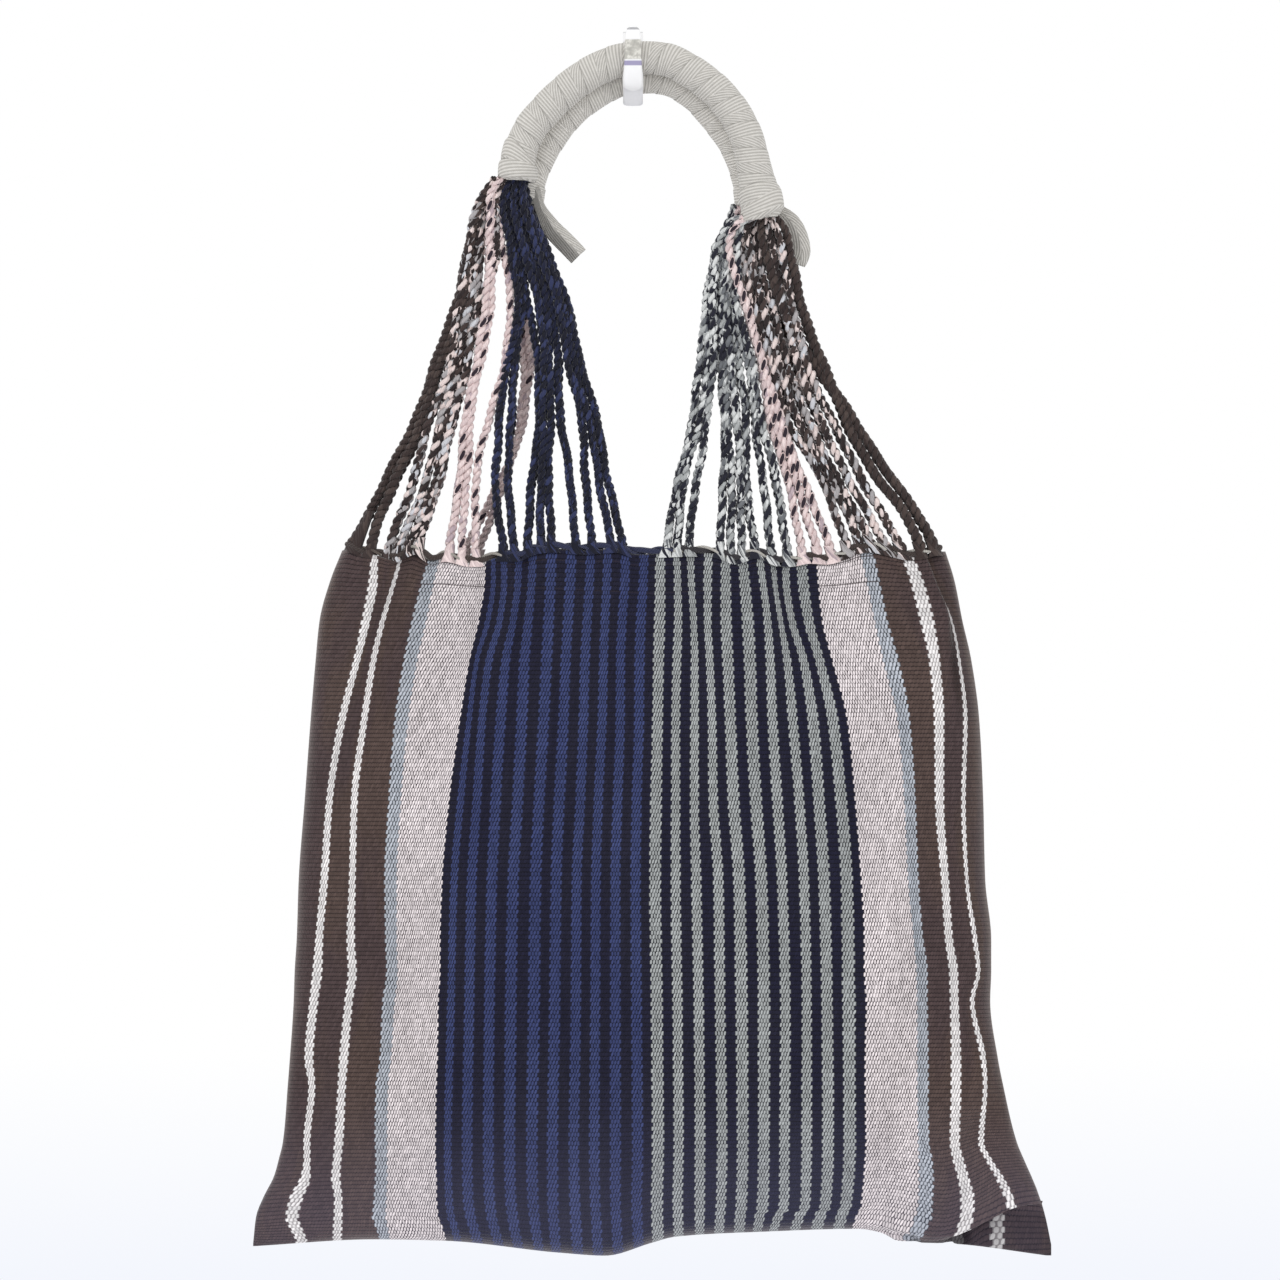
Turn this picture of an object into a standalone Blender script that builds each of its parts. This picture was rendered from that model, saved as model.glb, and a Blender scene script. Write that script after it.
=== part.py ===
"""Woven hammock bag that hangs by its two wound handles from a J-shaped wall hook.

The origin is on the hook's wall face.  X runs along the wall, Z is up and the front
of the bag faces -Y.  Sizes and tables are in millimetres; the meshes are in metres.
"""
import math
from collections import namedtuple

import bmesh
import bpy
from mathutils import Vector

MM = 0.001
GAP = 0.3                # clear space left between neighbouring pieces
MERGE = 0.01             # points closer than this are one point
SHARP_ANGLE = 50.0       # edges that bend by more are drawn sharp
TUBE_SHARP_ANGLE = 65.0  # the same for round tubes, whose facets bend by less than this
OBJECT_NAME = "hammock_bag"

# ---------------------------------------------------------------- bag cloth
BOTTOM_Z = -597.0        # level of the bottom fold
CLOTH = 2.0              # thickness of the woven cloth
FACE_STEPS = 24          # mesh steps across one face of the bag
FOLD_FADE = 70.0         # height over which the uneven bottom edge dies away

# One row for each level: height above the fold, the two side edges, the depth at which
# front and back are joined, how far each face stands off from that join, how square the
# section is, and the width of the joined edge at each side.
Level = namedtuple("Level", "up left right join_y front back power seam")
BAG_LEVELS = (
    Level(0.0, -189.0, 207.0, -23.0, 4.0, 4.0, 2.2, 9.0),
    Level(2.0, -190.8, 209.0, -23.0, 7.5, 7.5, 2.2, 9.0),
    Level(6.0, -191.0, 209.5, -23.0, 11.0, 10.5, 2.2, 9.0),
    Level(12.0, -189.8, 207.8, -23.5, 13.5, 12.5, 2.2, 8.0),
    Level(22.0, -186.9, 205.8, -24.0, 16.0, 14.0, 2.3, 7.0),
    Level(33.0, -182.1, 202.0, -24.5, 18.0, 15.5, 2.3, 7.0),
    Level(50.0, -175.6, 194.7, -25.5, 20.5, 17.0, 2.4, 6.0),
    Level(73.0, -173.9, 188.2, -26.5, 23.0, 18.5, 2.5, 5.0),
    Level(96.0, -172.6, 183.4, -27.5, 25.0, 20.0, 2.5, 5.0),
    Level(125.0, -170.6, 180.0, -28.0, 26.5, 21.0, 2.6, 5.0),
    Level(190.0, -167.8, 176.9, -28.5, 28.0, 22.5, 2.6, 5.0),
    Level(237.0, -164.3, 175.6, -28.5, 27.5, 22.5, 2.6, 5.0),
    Level(275.0, -161.1, 172.9, -28.0, 26.0, 22.0, 2.6, 5.0),
    Level(314.0, -157.0, 165.8, -27.5, 23.5, 20.5, 2.7, 5.0),
    Level(329.0, -155.3, 163.8, -27.0, 22.0, 20.0, 2.8, 5.0),
    Level(342.0, -150.7, 159.8, -26.5, 20.5, 19.0, 2.9, 5.0),
    Level(349.0, -147.5, 157.5, -26.0, 20.0, 18.5, 3.0, 5.0),
)
INNER_FLOOR = 2          # first row that has a hollow inside it
MOUTH = BAG_LEVELS[-1]
MOUTH_Z = BOTTOM_Z + MOUTH.up

# The bottom edge rises and dips along its length.
Dip = namedtuple("Dip", "x rise")
BOTTOM_EDGE = (
    Dip(-190.0, 0.0), Dip(-130.0, 3.5), Dip(-95.0, 2.5), Dip(-37.0, -2.5), Dip(-14.0, -4.0),
    Dip(9.5, 2.5), Dip(21.0, 5.5), Dip(64.0, 8.0), Dip(113.0, 9.5), Dip(135.0, 3.0),
    Dip(160.0, 2.0), Dip(208.0, -4.0),
)

# Main creases of the front, each a soft trough along a line.
Crease = namedtuple("Crease", "x0 z0 x1 z1 spread depth")
CREASES = (
    Crease(160.0, -594.0, 206.0, -575.0, 9.0, 3.0),
    Crease(-177.0, -586.0, -150.0, -596.0, 9.0, 2.5),
    Crease(187.0, -515.0, 173.0, -540.0, 9.0, 3.0),
    Crease(173.0, -540.0, 189.0, -580.0, 9.0, 3.0),
    Crease(-161.0, -512.0, -158.0, -548.0, 8.0, 2.0),
    Crease(148.0, -248.0, 161.0, -285.0, 8.0, 3.0),
)
CREASE_RISE = 12.0       # the creases grow over this height from the fold
CREASE_SIDE = 0.5        # and die away over this share of the depth towards the sides

# ------------------------------------------------- cord along the mouth's edge
EDGE_CORD_RADIUS = 1.6
EDGE_CORD_STEPS = 24
EDGE_CORD_SHORT = 0.018  # share of its half turn that it stays short of each end

# ----------------------------------------------------------------- cord fans
CORD_RADIUS = 2.3        # at the mouth
SQUEEZED_RADIUS = 1.6    # where the cords are bound together
CORD_STEPS = 3
CORD_SIDES_DETAIL = 1    # six sides
LAYER = 2.0              # the bound cords lie in two layers, this far apart
COLUMN = 1.3             # step between bound cords of one comb
COMB_GAP = 4.2           # step from one comb to the next where they are bound
UPRIGHT_END = 2.5        # straight stretch at each end of a cord
OUTER_BOW = -0.6         # the outermost cord of a fan swings outward late
INNER_BOW = 0.3          # the innermost one swings early

# Where the cords of each comb meet the mouth, from the outside of the fan inwards.
FANS = {
    "left": {
        "brown": (-141.5, -132.5),
        "mixed": (-125.0, -119.8, -113.6, -108.5),
        "pink": (-92.5, -86.2, -78.9),
        "navy": (-65.0, -59.5, -53.0, -46.5, -41.0, -28.6, -20.6, -10.6, -5.0),
    },
    "right": {
        "brown": (151.5, 144.5),
        "mixed": (136.0, 127.5, 120.1, 114.5, 108.0),
        "pink": (100.5, 93.3, 85.4),
        "grey": (77.9, 69.8, 61.3, 54.5, 49.0, 43.5, 27.6, 22.0, 16.5),
    },
}

# Where each fan is bound, just below the end of its handle: the outermost cord's place
# and the way inwards.
Gather = namedtuple("Gather", "face side outer_x inward y z")
GATHERS = (
    Gather("front", "left", -70.5, 1.0, -33.0, -61.6),
    Gather("front", "right", 75.5, -1.0, -33.0, -81.0),
    Gather("back", "left", -66.0, 1.0, -12.2, -72.6),
    Gather("back", "right", 71.5, -1.0, -12.2, -74.8),
)

# ------------------------------------------------------------------- handles
HANDLE_SIDES_DETAIL = 2  # eight sides
ROUTE_STEPS = 2          # mesh steps between two rows of a handle table
Stop = namedtuple("Stop", "x y z radius")
FRONT_HANDLE = (
    Stop(-56.9, -33.0, -60.8, 9.5), Stop(-56.5, -32.8, -53.0, 10.0),
    Stop(-55.4, -32.2, -44.2, 8.9), Stop(-51.5, -31.0, -34.5, 8.5),
    Stop(-44.5, -30.0, -25.9, 8.5), Stop(-33.7, -29.0, -15.3, 8.5),
    Stop(-21.1, -28.3, -6.3, 8.5), Stop(-6.5, -27.9, -0.2, 8.5), Stop(6.0, -27.9, 1.0, 8.5),
    Stop(16.6, -28.0, 0.2, 8.5), Stop(29.9, -28.7, -6.3, 8.5), Stop(43.2, -29.7, -17.0, 8.5),
    Stop(52.3, -30.7, -28.9, 8.5), Stop(57.3, -31.4, -39.7, 8.5), Stop(60.6, -32.0, -53.0, 8.7),
    Stop(63.1, -32.6, -65.0, 10.0), Stop(64.8, -33.0, -73.4, 10.0), Stop(65.4, -33.0, -79.6, 9.4),
)
BACK_HANDLE = (
    Stop(-55.5, -12.2, -71.5, 9.5), Stop(-54.6, -12.2, -64.0, 9.9),
    Stop(-50.3, -12.3, -53.8, 8.8), Stop(-42.7, -12.4, -39.7, 8.5),
    Stop(-31.2, -12.4, -25.0, 8.5), Stop(-16.6, -12.6, -14.3, 8.5),
    Stop(-6.5, -12.9, -9.4, 8.5), Stop(6.5, -12.9, -8.0, 8.5), Stop(17.0, -12.7, -8.9, 8.5),
    Stop(30.7, -12.4, -16.3, 8.5), Stop(42.2, -12.4, -28.6, 8.5),
    Stop(51.8, -12.3, -42.2, 8.5), Stop(58.8, -12.2, -60.3, 9.5), Stop(60.5, -12.2, -73.6, 9.8),
)

# ----------------------------------------------------------- loose tape ends
TAPE = 1.2               # thickness of the winding tape
TapeRow = namedtuple("TapeRow", "x y z half_width fold")
TAPE_TAIL = (
    TapeRow(-43.8, -20.5, -70.5, 4.0, 1.0), TapeRow(-40.0, -21.5, -78.0, 5.0, 2.4),
    TapeRow(-34.5, -22.0, -85.5, 5.4, 2.8), TapeRow(-29.0, -22.5, -92.5, 5.6, 2.6),
    TapeRow(-25.5, -22.5, -97.0, 5.2, 2.0),
)
TAPE_FLAP = (
    TapeRow(72.6, -20.0, -76.0, 4.0, 0.6), TapeRow(79.0, -20.5, -82.0, 5.2, 1.2),
    TapeRow(82.6, -21.0, -90.0, 5.6, 1.6), TapeRow(83.6, -21.5, -97.0, 5.4, 1.4),
    TapeRow(82.0, -22.0, -102.5, 4.6, 1.0),
)

# ---------------------------------------------------------------------- hook
STRAP = 4.0              # thickness of the strap
STRAP_WIDTH = 10.0
TIP_WIDTH = 6.6
WALL_LEG_TOP = 15.0
WALL_LEG_FOOT = -9.6     # where the wall leg turns into the bend
BACK_BEND = 11.0         # radius of the middle line beside the wall
FRONT_REACH = 25.8       # from the bottom of the bend out to the upturned tip
TIP_FOOT = 1.0
TIP_TOP = 16.6
TIP_LEAN = 0.9
TIP_SHARES = (0.35, 0.7, 0.9, 1.0)
TIP_END = 0.7            # share of its width that the tip keeps at its very end
BEND_STEPS = 8
EDGE_ROUNDING = 0.6

# Name, base colour, roughness, metallic.
COLOURS = {
    "cloth": ("striped_cloth", (0.13, 0.12, 0.14), 0.9, 0.0),
    "edge": ("edge_yarn", (0.05, 0.04, 0.04), 0.9, 0.0),
    "brown": ("brown_cord", (0.045, 0.03, 0.026), 0.9, 0.0),
    "mixed": ("mixed_cord", (0.16, 0.14, 0.13), 0.9, 0.0),
    "pink": ("pink_cord", (0.72, 0.56, 0.54), 0.9, 0.0),
    "navy": ("navy_cord", (0.02, 0.025, 0.08), 0.9, 0.0),
    "grey": ("grey_cord", (0.2, 0.21, 0.2), 0.9, 0.0),
    "tape": ("cotton_tape", (0.58, 0.56, 0.52), 0.85, 0.0),
    "hook": ("chromed_steel", (0.8, 0.8, 0.82), 0.15, 1.0),
}


def clear_scene():
    for thing in list(bpy.data.objects):
        bpy.data.objects.remove(thing, do_unlink=True)


def new_collection(name):
    collection = bpy.data.collections.new(name)
    bpy.context.scene.collection.children.link(collection)
    return collection


def make_material(key):
    name, colour, roughness, metallic = COLOURS[key]
    if name in bpy.data.materials:
        return bpy.data.materials[name]
    material = bpy.data.materials.new(name)
    material.use_nodes = True
    shader = material.node_tree.nodes["Principled BSDF"]
    shader.inputs["Base Color"].default_value = (*colour, 1.0)
    shader.inputs["Roughness"].default_value = roughness
    shader.inputs["Metallic"].default_value = metallic
    return material


def add_object(name, data, collection, colour=None):
    thing = bpy.data.objects.new(name, data)
    collection.objects.link(thing)
    if colour:
        data.materials.append(make_material(colour))
    return thing


def mesh_from_faces(name, points, faces):
    """A mesh from points in millimetres, shaded smooth except at its sharp edges."""
    mesh = bpy.data.meshes.new(name)
    mesh.from_pydata([Vector(point) * MM for point in points], [], faces)
    shell = bmesh.new()
    shell.from_mesh(mesh)
    bmesh.ops.recalc_face_normals(shell, faces=shell.faces)
    shell.to_mesh(mesh)
    shell.free()
    mesh.shade_smooth()
    mesh.set_sharp_from_angle(angle=math.radians(SHARP_ANGLE))
    return mesh


# ----------------------------------------------------------- bag cloth
def bottom_rise(x):
    """How far the bottom edge stands above its level at a place along it."""
    if x <= BOTTOM_EDGE[0].x:
        return BOTTOM_EDGE[0].rise
    for near, far in zip(BOTTOM_EDGE, BOTTOM_EDGE[1:]):
        if x <= far.x:
            share = (x - near.x) / (far.x - near.x)
            ease = share * share * (3.0 - 2.0 * share)
            return near.rise + (far.rise - near.rise) * ease
    return BOTTOM_EDGE[-1].rise


def crease_depth(x, z):
    """How far the creases push the front face back at a place."""
    depth = 0.0
    for crease in CREASES:
        start = Vector((crease.x0, crease.z0))
        along = Vector((crease.x1, crease.z1)) - start
        share = (Vector((x, z)) - start).dot(along) / along.length_squared
        nearest = start + along * min(max(share, 0.0), 1.0)
        distance = (Vector((x, z)) - nearest).length / crease.spread
        depth += crease.depth * math.exp(-distance * distance)
    return depth


def section_point(level, angle, side_inset=0.0, face_inset=0.0):
    """A place on a level's section; the front runs from 0 at the right to half a turn."""
    across, out = math.cos(angle), math.sin(angle)
    half = (level.right - level.left) / 2.0 - side_inset
    depth = (level.front if out >= 0.0 else level.back) - face_inset
    bend = 2.0 / level.power
    x = (level.right + level.left) / 2.0 + math.copysign(half * abs(across) ** bend, across)
    y = level.join_y - math.copysign(depth * abs(out) ** bend, out)
    fade = max(0.0, 1.0 - level.up / FOLD_FADE)
    z = BOTTOM_Z + level.up + bottom_rise(x) * fade
    if out > 0.0:
        y += crease_depth(x, z) * min(1.0, out / CREASE_SIDE) * min(1.0, level.up / CREASE_RISE)
    return (x, y, z)


def section_ring(level, side_inset=0.0, face_inset=0.0):
    count = 2 * FACE_STEPS
    turn = 2.0 * math.pi / count
    return [section_point(level, step * turn, side_inset, face_inset) for step in range(count)]


def ring_faces(lower, upper, count):
    """Quads between two rings, given by the number of each ring's first point."""
    return [
        (lower + step, lower + (step + 1) % count, upper + (step + 1) % count, upper + step)
        for step in range(count)
    ]


def floor_faces(first, count):
    """Faces that close a ring by joining each front point to the back point behind it."""
    half = count // 2
    faces = [(first, first + 1, first + count - 1)]
    for step in range(1, half - 1):
        back = first + count - step
        faces.append((first + step, first + step + 1, back - 1, back))
    faces.append((first + half - 1, first + half, first + half + 1))
    return faces


def make_bag_cloth(collection):
    """The woven bag: an outer and an inner surface that meet at the rim of the mouth."""
    count = 2 * FACE_STEPS
    rings = [section_ring(level) for level in BAG_LEVELS]
    hollow = BAG_LEVELS[INNER_FLOOR:]
    rings += [section_ring(level, level.seam, CLOTH) for level in reversed(hollow)]
    points = [point for ring in rings for point in ring]
    faces = floor_faces(0, count)
    for number in range(len(rings) - 1):
        faces += ring_faces(number * count, (number + 1) * count, count)
    faces += floor_faces((len(rings) - 1) * count, count)
    add_object("bag_cloth", mesh_from_faces("bag_cloth", points, faces), collection, "cloth")


# -------------------------------------------------------- round pieces
def mesh_from_routes(name, routes, detail):
    """Meshes of capped round tubes, one for each route of points with their radii."""
    meshes = []
    for route in routes:
        curve = bpy.data.curves.new(name, "CURVE")
        curve.dimensions = "3D"
        curve.bevel_depth = MM
        curve.bevel_resolution = detail
        curve.use_fill_caps = True
        spline = curve.splines.new("POLY")
        spline.points.add(len(route) - 1)
        for point, stop in zip(spline.points, route):
            point.co = (stop.x * MM, stop.y * MM, stop.z * MM, 1.0)
            point.radius = stop.radius
        guide = bpy.data.objects.new(name, curve)
        bpy.context.scene.collection.objects.link(guide)
        evaluated = guide.evaluated_get(bpy.context.evaluated_depsgraph_get())
        mesh = bpy.data.meshes.new_from_object(evaluated)
        bpy.data.objects.remove(guide, do_unlink=True)
        shell = bmesh.new()
        shell.from_mesh(mesh)
        bmesh.ops.remove_doubles(shell, verts=shell.verts, dist=MERGE * MM)
        bmesh.ops.recalc_face_normals(shell, faces=shell.faces)
        shell.to_mesh(mesh)
        shell.free()
        mesh.shade_smooth()
        mesh.set_sharp_from_angle(angle=math.radians(TUBE_SHARP_ANGLE))
        meshes.append(mesh)
    return meshes


def smooth_route(stops, steps):
    """Points on a smooth curve through the rows of a table."""
    route = []
    last = len(stops) - 1
    for number in range(last):
        around = [stops[min(max(number + offset, 0), last)] for offset in (-1, 0, 1, 2)]
        before, near, far, after = (Vector(stop) for stop in around)
        for step in range(steps):
            t = step / steps
            point = 0.5 * (
                2.0 * near
                + (far - before) * t
                + (2.0 * before - 5.0 * near + 4.0 * far - after) * t ** 2
                + (3.0 * near - before - 3.0 * far + after) * t ** 3
            )
            route.append(Stop(*point))
    route.append(stops[-1])
    return route


def make_handle(name, stops, collection):
    mesh, = mesh_from_routes(name, [smooth_route(stops, ROUTE_STEPS)], HANDLE_SIDES_DETAIL)
    add_object(name, mesh, collection, "tape")


def mouth_y(face, x):
    """Depth of the middle of the cloth's edge at a place along the mouth."""
    half = (MOUTH.right - MOUTH.left) / 2.0 - CLOTH / 2.0
    share = min(abs(x - (MOUTH.right + MOUTH.left) / 2.0) / half, 1.0)
    out = (1.0 - share ** MOUTH.power) ** (1.0 / MOUTH.power)
    if face == "front":
        return MOUTH.join_y - (MOUTH.front - CLOTH / 2.0) * out
    return MOUTH.join_y + (MOUTH.back - CLOTH / 2.0) * out


def make_edge_cord(face, collection):
    """The yarn twined along one half of the mouth, lying on the cloth's edge."""
    name = "edge_cord_" + face
    z = MOUTH_Z + GAP + EDGE_CORD_RADIUS
    half_turn = math.pi if face == "front" else -math.pi
    start = EDGE_CORD_SHORT * half_turn
    route = []
    for step in range(EDGE_CORD_STEPS + 1):
        angle = start + (half_turn - 2.0 * start) * step / EDGE_CORD_STEPS
        x, y, _ = section_point(MOUTH, angle, CLOTH / 2.0, CLOTH / 2.0)
        route.append(Stop(x, mouth_y(face, x), z, EDGE_CORD_RADIUS))
    mesh, = mesh_from_routes(name, [route], CORD_SIDES_DETAIL)
    add_object(name, mesh, collection, "edge")


def cord_route(gather, slot_x, layer, mouth_x, bow):
    """One cord's course from where it is bound down to the edge cord, upright at both ends."""
    start_y = gather.y + (layer - 0.5) * LAYER
    end_y = mouth_y(gather.face, mouth_x)
    end_z = MOUTH_Z + 2.0 * GAP + 2.0 * EDGE_CORD_RADIUS
    route = [Stop(slot_x, start_y, gather.z, SQUEEZED_RADIUS)]
    drop = end_z - gather.z + 2.0 * UPRIGHT_END
    for step in range(CORD_STEPS + 1):
        share = step / CORD_STEPS
        swing = (1.0 - (1.0 - share) ** 3) if bow > 0.0 else share ** 2
        sideways = share + abs(bow) * (swing - share)
        route.append(Stop(
            slot_x + (mouth_x - slot_x) * sideways,
            start_y + (end_y - start_y) * share,
            gather.z - UPRIGHT_END + drop * share,
            SQUEEZED_RADIUS + (CORD_RADIUS - SQUEEZED_RADIUS) * share,
        ))
    route.append(Stop(mouth_x, end_y, end_z, CORD_RADIUS))
    return route


def fan_routes(gather):
    """The cord courses of each comb in a fan, worked from the outside inwards."""
    combs = FANS[gather.side]
    total = sum(len(mouth_places) for mouth_places in combs.values())
    slot, number = 0.0, 0
    routes = {}
    for comb, mouth_places in combs.items():
        routes[comb] = []
        for place, mouth_x in enumerate(mouth_places):
            column, layer = divmod(place, 2)
            slot_x = gather.outer_x + gather.inward * (slot + column * COLUMN)
            bow = OUTER_BOW + (INNER_BOW - OUTER_BOW) * number / (total - 1)
            routes[comb].append(cord_route(gather, slot_x, layer, mouth_x, bow))
            number += 1
        slot += (len(mouth_places) - 1) // 2 * COLUMN + COMB_GAP
    return routes


def make_comb(name, colour, routes, collection, cutters):
    """A comb of cords: its first cord with the others joined to it."""
    first, *others = mesh_from_routes(name, routes, CORD_SIDES_DETAIL)
    comb = add_object(name, first, collection, colour)
    joined = bpy.data.collections.new(name + "_cords")
    cutters.children.link(joined)
    for number, mesh in enumerate(others):
        cord = add_object(name + "_cord_" + str(number), mesh, joined)
        cord.hide_render = True
        cord.display_type = "WIRE"
    union = comb.modifiers.new("join_cords", "BOOLEAN")
    union.operation = "UNION"
    union.solver = "EXACT"
    union.operand_type = "COLLECTION"
    union.collection = joined


# --------------------------------------------------------- tape ends
def make_tape_end(name, rows, collection):
    """A loose end of tape with a soft fold along its middle."""
    points = []
    for number, row in enumerate(rows):
        before = rows[max(number - 1, 0)]
        after = rows[min(number + 1, len(rows) - 1)]
        along = Vector((after.x - before.x, after.z - before.z)).normalized()
        for side in (-1.0, 0.0, 1.0):
            reach = side * row.half_width
            depth = row.y + row.fold * abs(side)
            points.append((row.x + along.y * reach, depth, row.z - along.x * reach))
    faces = []
    for number in range(len(rows) - 1):
        first = 3 * number
        faces.append((first, first + 1, first + 4, first + 3))
        faces.append((first + 1, first + 2, first + 5, first + 4))
    tape = add_object(name, mesh_from_faces(name, points, faces), collection, "tape")
    solid = tape.modifiers.new("thickness", "SOLIDIFY")
    solid.thickness = TAPE * MM
    solid.offset = 0.0
    solid.use_even_offset = True


# --------------------------------------------------------------- hook
def hook_line():
    """The strap's middle line in depth and height, from the wall leg to the tip."""
    wall_y = -STRAP / 2.0
    bend_y = wall_y - BACK_BEND
    bottom = WALL_LEG_FOOT - BACK_BEND
    line = [(wall_y, WALL_LEG_TOP), (wall_y, (WALL_LEG_TOP + WALL_LEG_FOOT) / 2.0)]
    for step in range(BEND_STEPS + 1):
        angle = math.pi / 2.0 * step / BEND_STEPS
        line.append((bend_y + BACK_BEND * math.cos(angle), WALL_LEG_FOOT - BACK_BEND * math.sin(angle)))
    for step in range(1, BEND_STEPS + 1):
        angle = math.pi / 2.0 * step / BEND_STEPS
        rise = (TIP_FOOT - bottom) * (1.0 - math.cos(angle))
        line.append((bend_y - FRONT_REACH * math.sin(angle), bottom + rise))
    tip_y = bend_y - FRONT_REACH
    for share in TIP_SHARES:
        line.append((tip_y - TIP_LEAN * share, TIP_FOOT + (TIP_TOP - TIP_FOOT) * share))
    return line


def strap_width(z, on_tip):
    """The tip narrows towards its rounded end; the rest has one width."""
    if not on_tip or z <= TIP_FOOT:
        return STRAP_WIDTH
    share = (z - TIP_FOOT) / (TIP_TOP - TIP_FOOT)
    width = STRAP_WIDTH + (TIP_WIDTH - STRAP_WIDTH) * share
    return width * (TIP_END if round(share, 3) == 1.0 else 1.0)


def make_hook(collection):
    """A strap bent into a J, flat against the wall at the back, with rounded edges."""
    points = []
    line = hook_line()
    for y, z in line:
        half = strap_width(z, y < -STRAP - BACK_BEND) / 2.0
        points += [(-half, y, z), (half, y, z)]
    faces = [(2 * n, 2 * n + 1, 2 * n + 3, 2 * n + 2) for n in range(len(line) - 1)]
    hook = add_object("hook", mesh_from_faces("hook", points, faces), collection, "hook")
    solid = hook.modifiers.new("thickness", "SOLIDIFY")
    solid.thickness = STRAP * MM
    solid.offset = 0.0
    solid.use_even_offset = True
    rounding = hook.modifiers.new("rounding", "BEVEL")
    rounding.width = EDGE_ROUNDING * MM
    rounding.segments = 2
    rounding.limit_method = "ANGLE"
    rounding.angle_limit = math.radians(SHARP_ANGLE)


def main():
    clear_scene()
    parts = new_collection(OBJECT_NAME)
    cutters = new_collection("cutters")
    cutters.hide_render = True
    make_hook(parts)
    make_handle("handle_front", FRONT_HANDLE, parts)
    make_handle("handle_back", BACK_HANDLE, parts)
    make_tape_end("tape_tail", TAPE_TAIL, parts)
    make_tape_end("tape_flap", TAPE_FLAP, parts)
    for gather in GATHERS:
        for comb, routes in fan_routes(gather).items():
            name = "_".join(("cords", gather.face, gather.side, comb))
            make_comb(name, comb, routes, parts, cutters)
    for face in ("front", "back"):
        make_edge_cord(face, parts)
    make_bag_cloth(parts)


main()
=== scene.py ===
"""Looks of the woven hammock bag: striped warp-faced cloth, twisted warp cords, handles wound
with herringbone tape and a bright wall hook.  Tables are in millimetres, meshes in metres.
The wall is at Y = 0, the front of the bag faces -Y and Z is up.
"""

import math
from collections import namedtuple

import bpy
import numpy as np
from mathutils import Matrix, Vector


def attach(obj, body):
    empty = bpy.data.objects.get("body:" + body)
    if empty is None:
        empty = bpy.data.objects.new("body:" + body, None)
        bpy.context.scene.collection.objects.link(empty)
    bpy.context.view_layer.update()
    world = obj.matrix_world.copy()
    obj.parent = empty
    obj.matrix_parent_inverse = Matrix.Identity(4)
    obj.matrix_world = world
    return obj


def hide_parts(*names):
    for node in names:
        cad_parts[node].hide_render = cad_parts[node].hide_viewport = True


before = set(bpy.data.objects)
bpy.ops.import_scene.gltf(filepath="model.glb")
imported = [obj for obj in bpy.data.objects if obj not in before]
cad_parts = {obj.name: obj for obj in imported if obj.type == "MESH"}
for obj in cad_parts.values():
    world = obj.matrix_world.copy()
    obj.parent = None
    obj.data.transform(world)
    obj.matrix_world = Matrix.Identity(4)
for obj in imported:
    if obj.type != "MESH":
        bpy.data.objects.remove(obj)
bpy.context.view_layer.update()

MM = 0.001
TAU = 2.0 * math.pi

# ------------------------------------------------------------------ bag cloth
MOUTH_Z = -248.0
BOTTOM_Z = -597.0
FOLD_RISE = 12.0          # height of the rounded fold at the bottom
CLOTH_THICKNESS = 1.6
FLAT_WIDTH = 400.0        # one face of the cloth, from side seam to side seam
FLAT_FOLD = 40.0          # cloth that goes round the bottom fold
FOLD_ALONG = 337.0        # how far down the cloth from the mouth the fold begins
FADE = 70.0               # height over which the uneven bottom edge dies away
SCALLOP_FADE = 9.0        # how fast the mouth's uneven edge dies away below it
FULL_LIFT = 5.0           # the bottom edge counts as turned up where it is lifted this far
ROW_STEP = 2.7
FOLD_STEPS = 34
SEAM_ROWS, SEAM_COLUMNS = 6, 3  # the mesh thins out here, at the side seams round the fold

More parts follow.
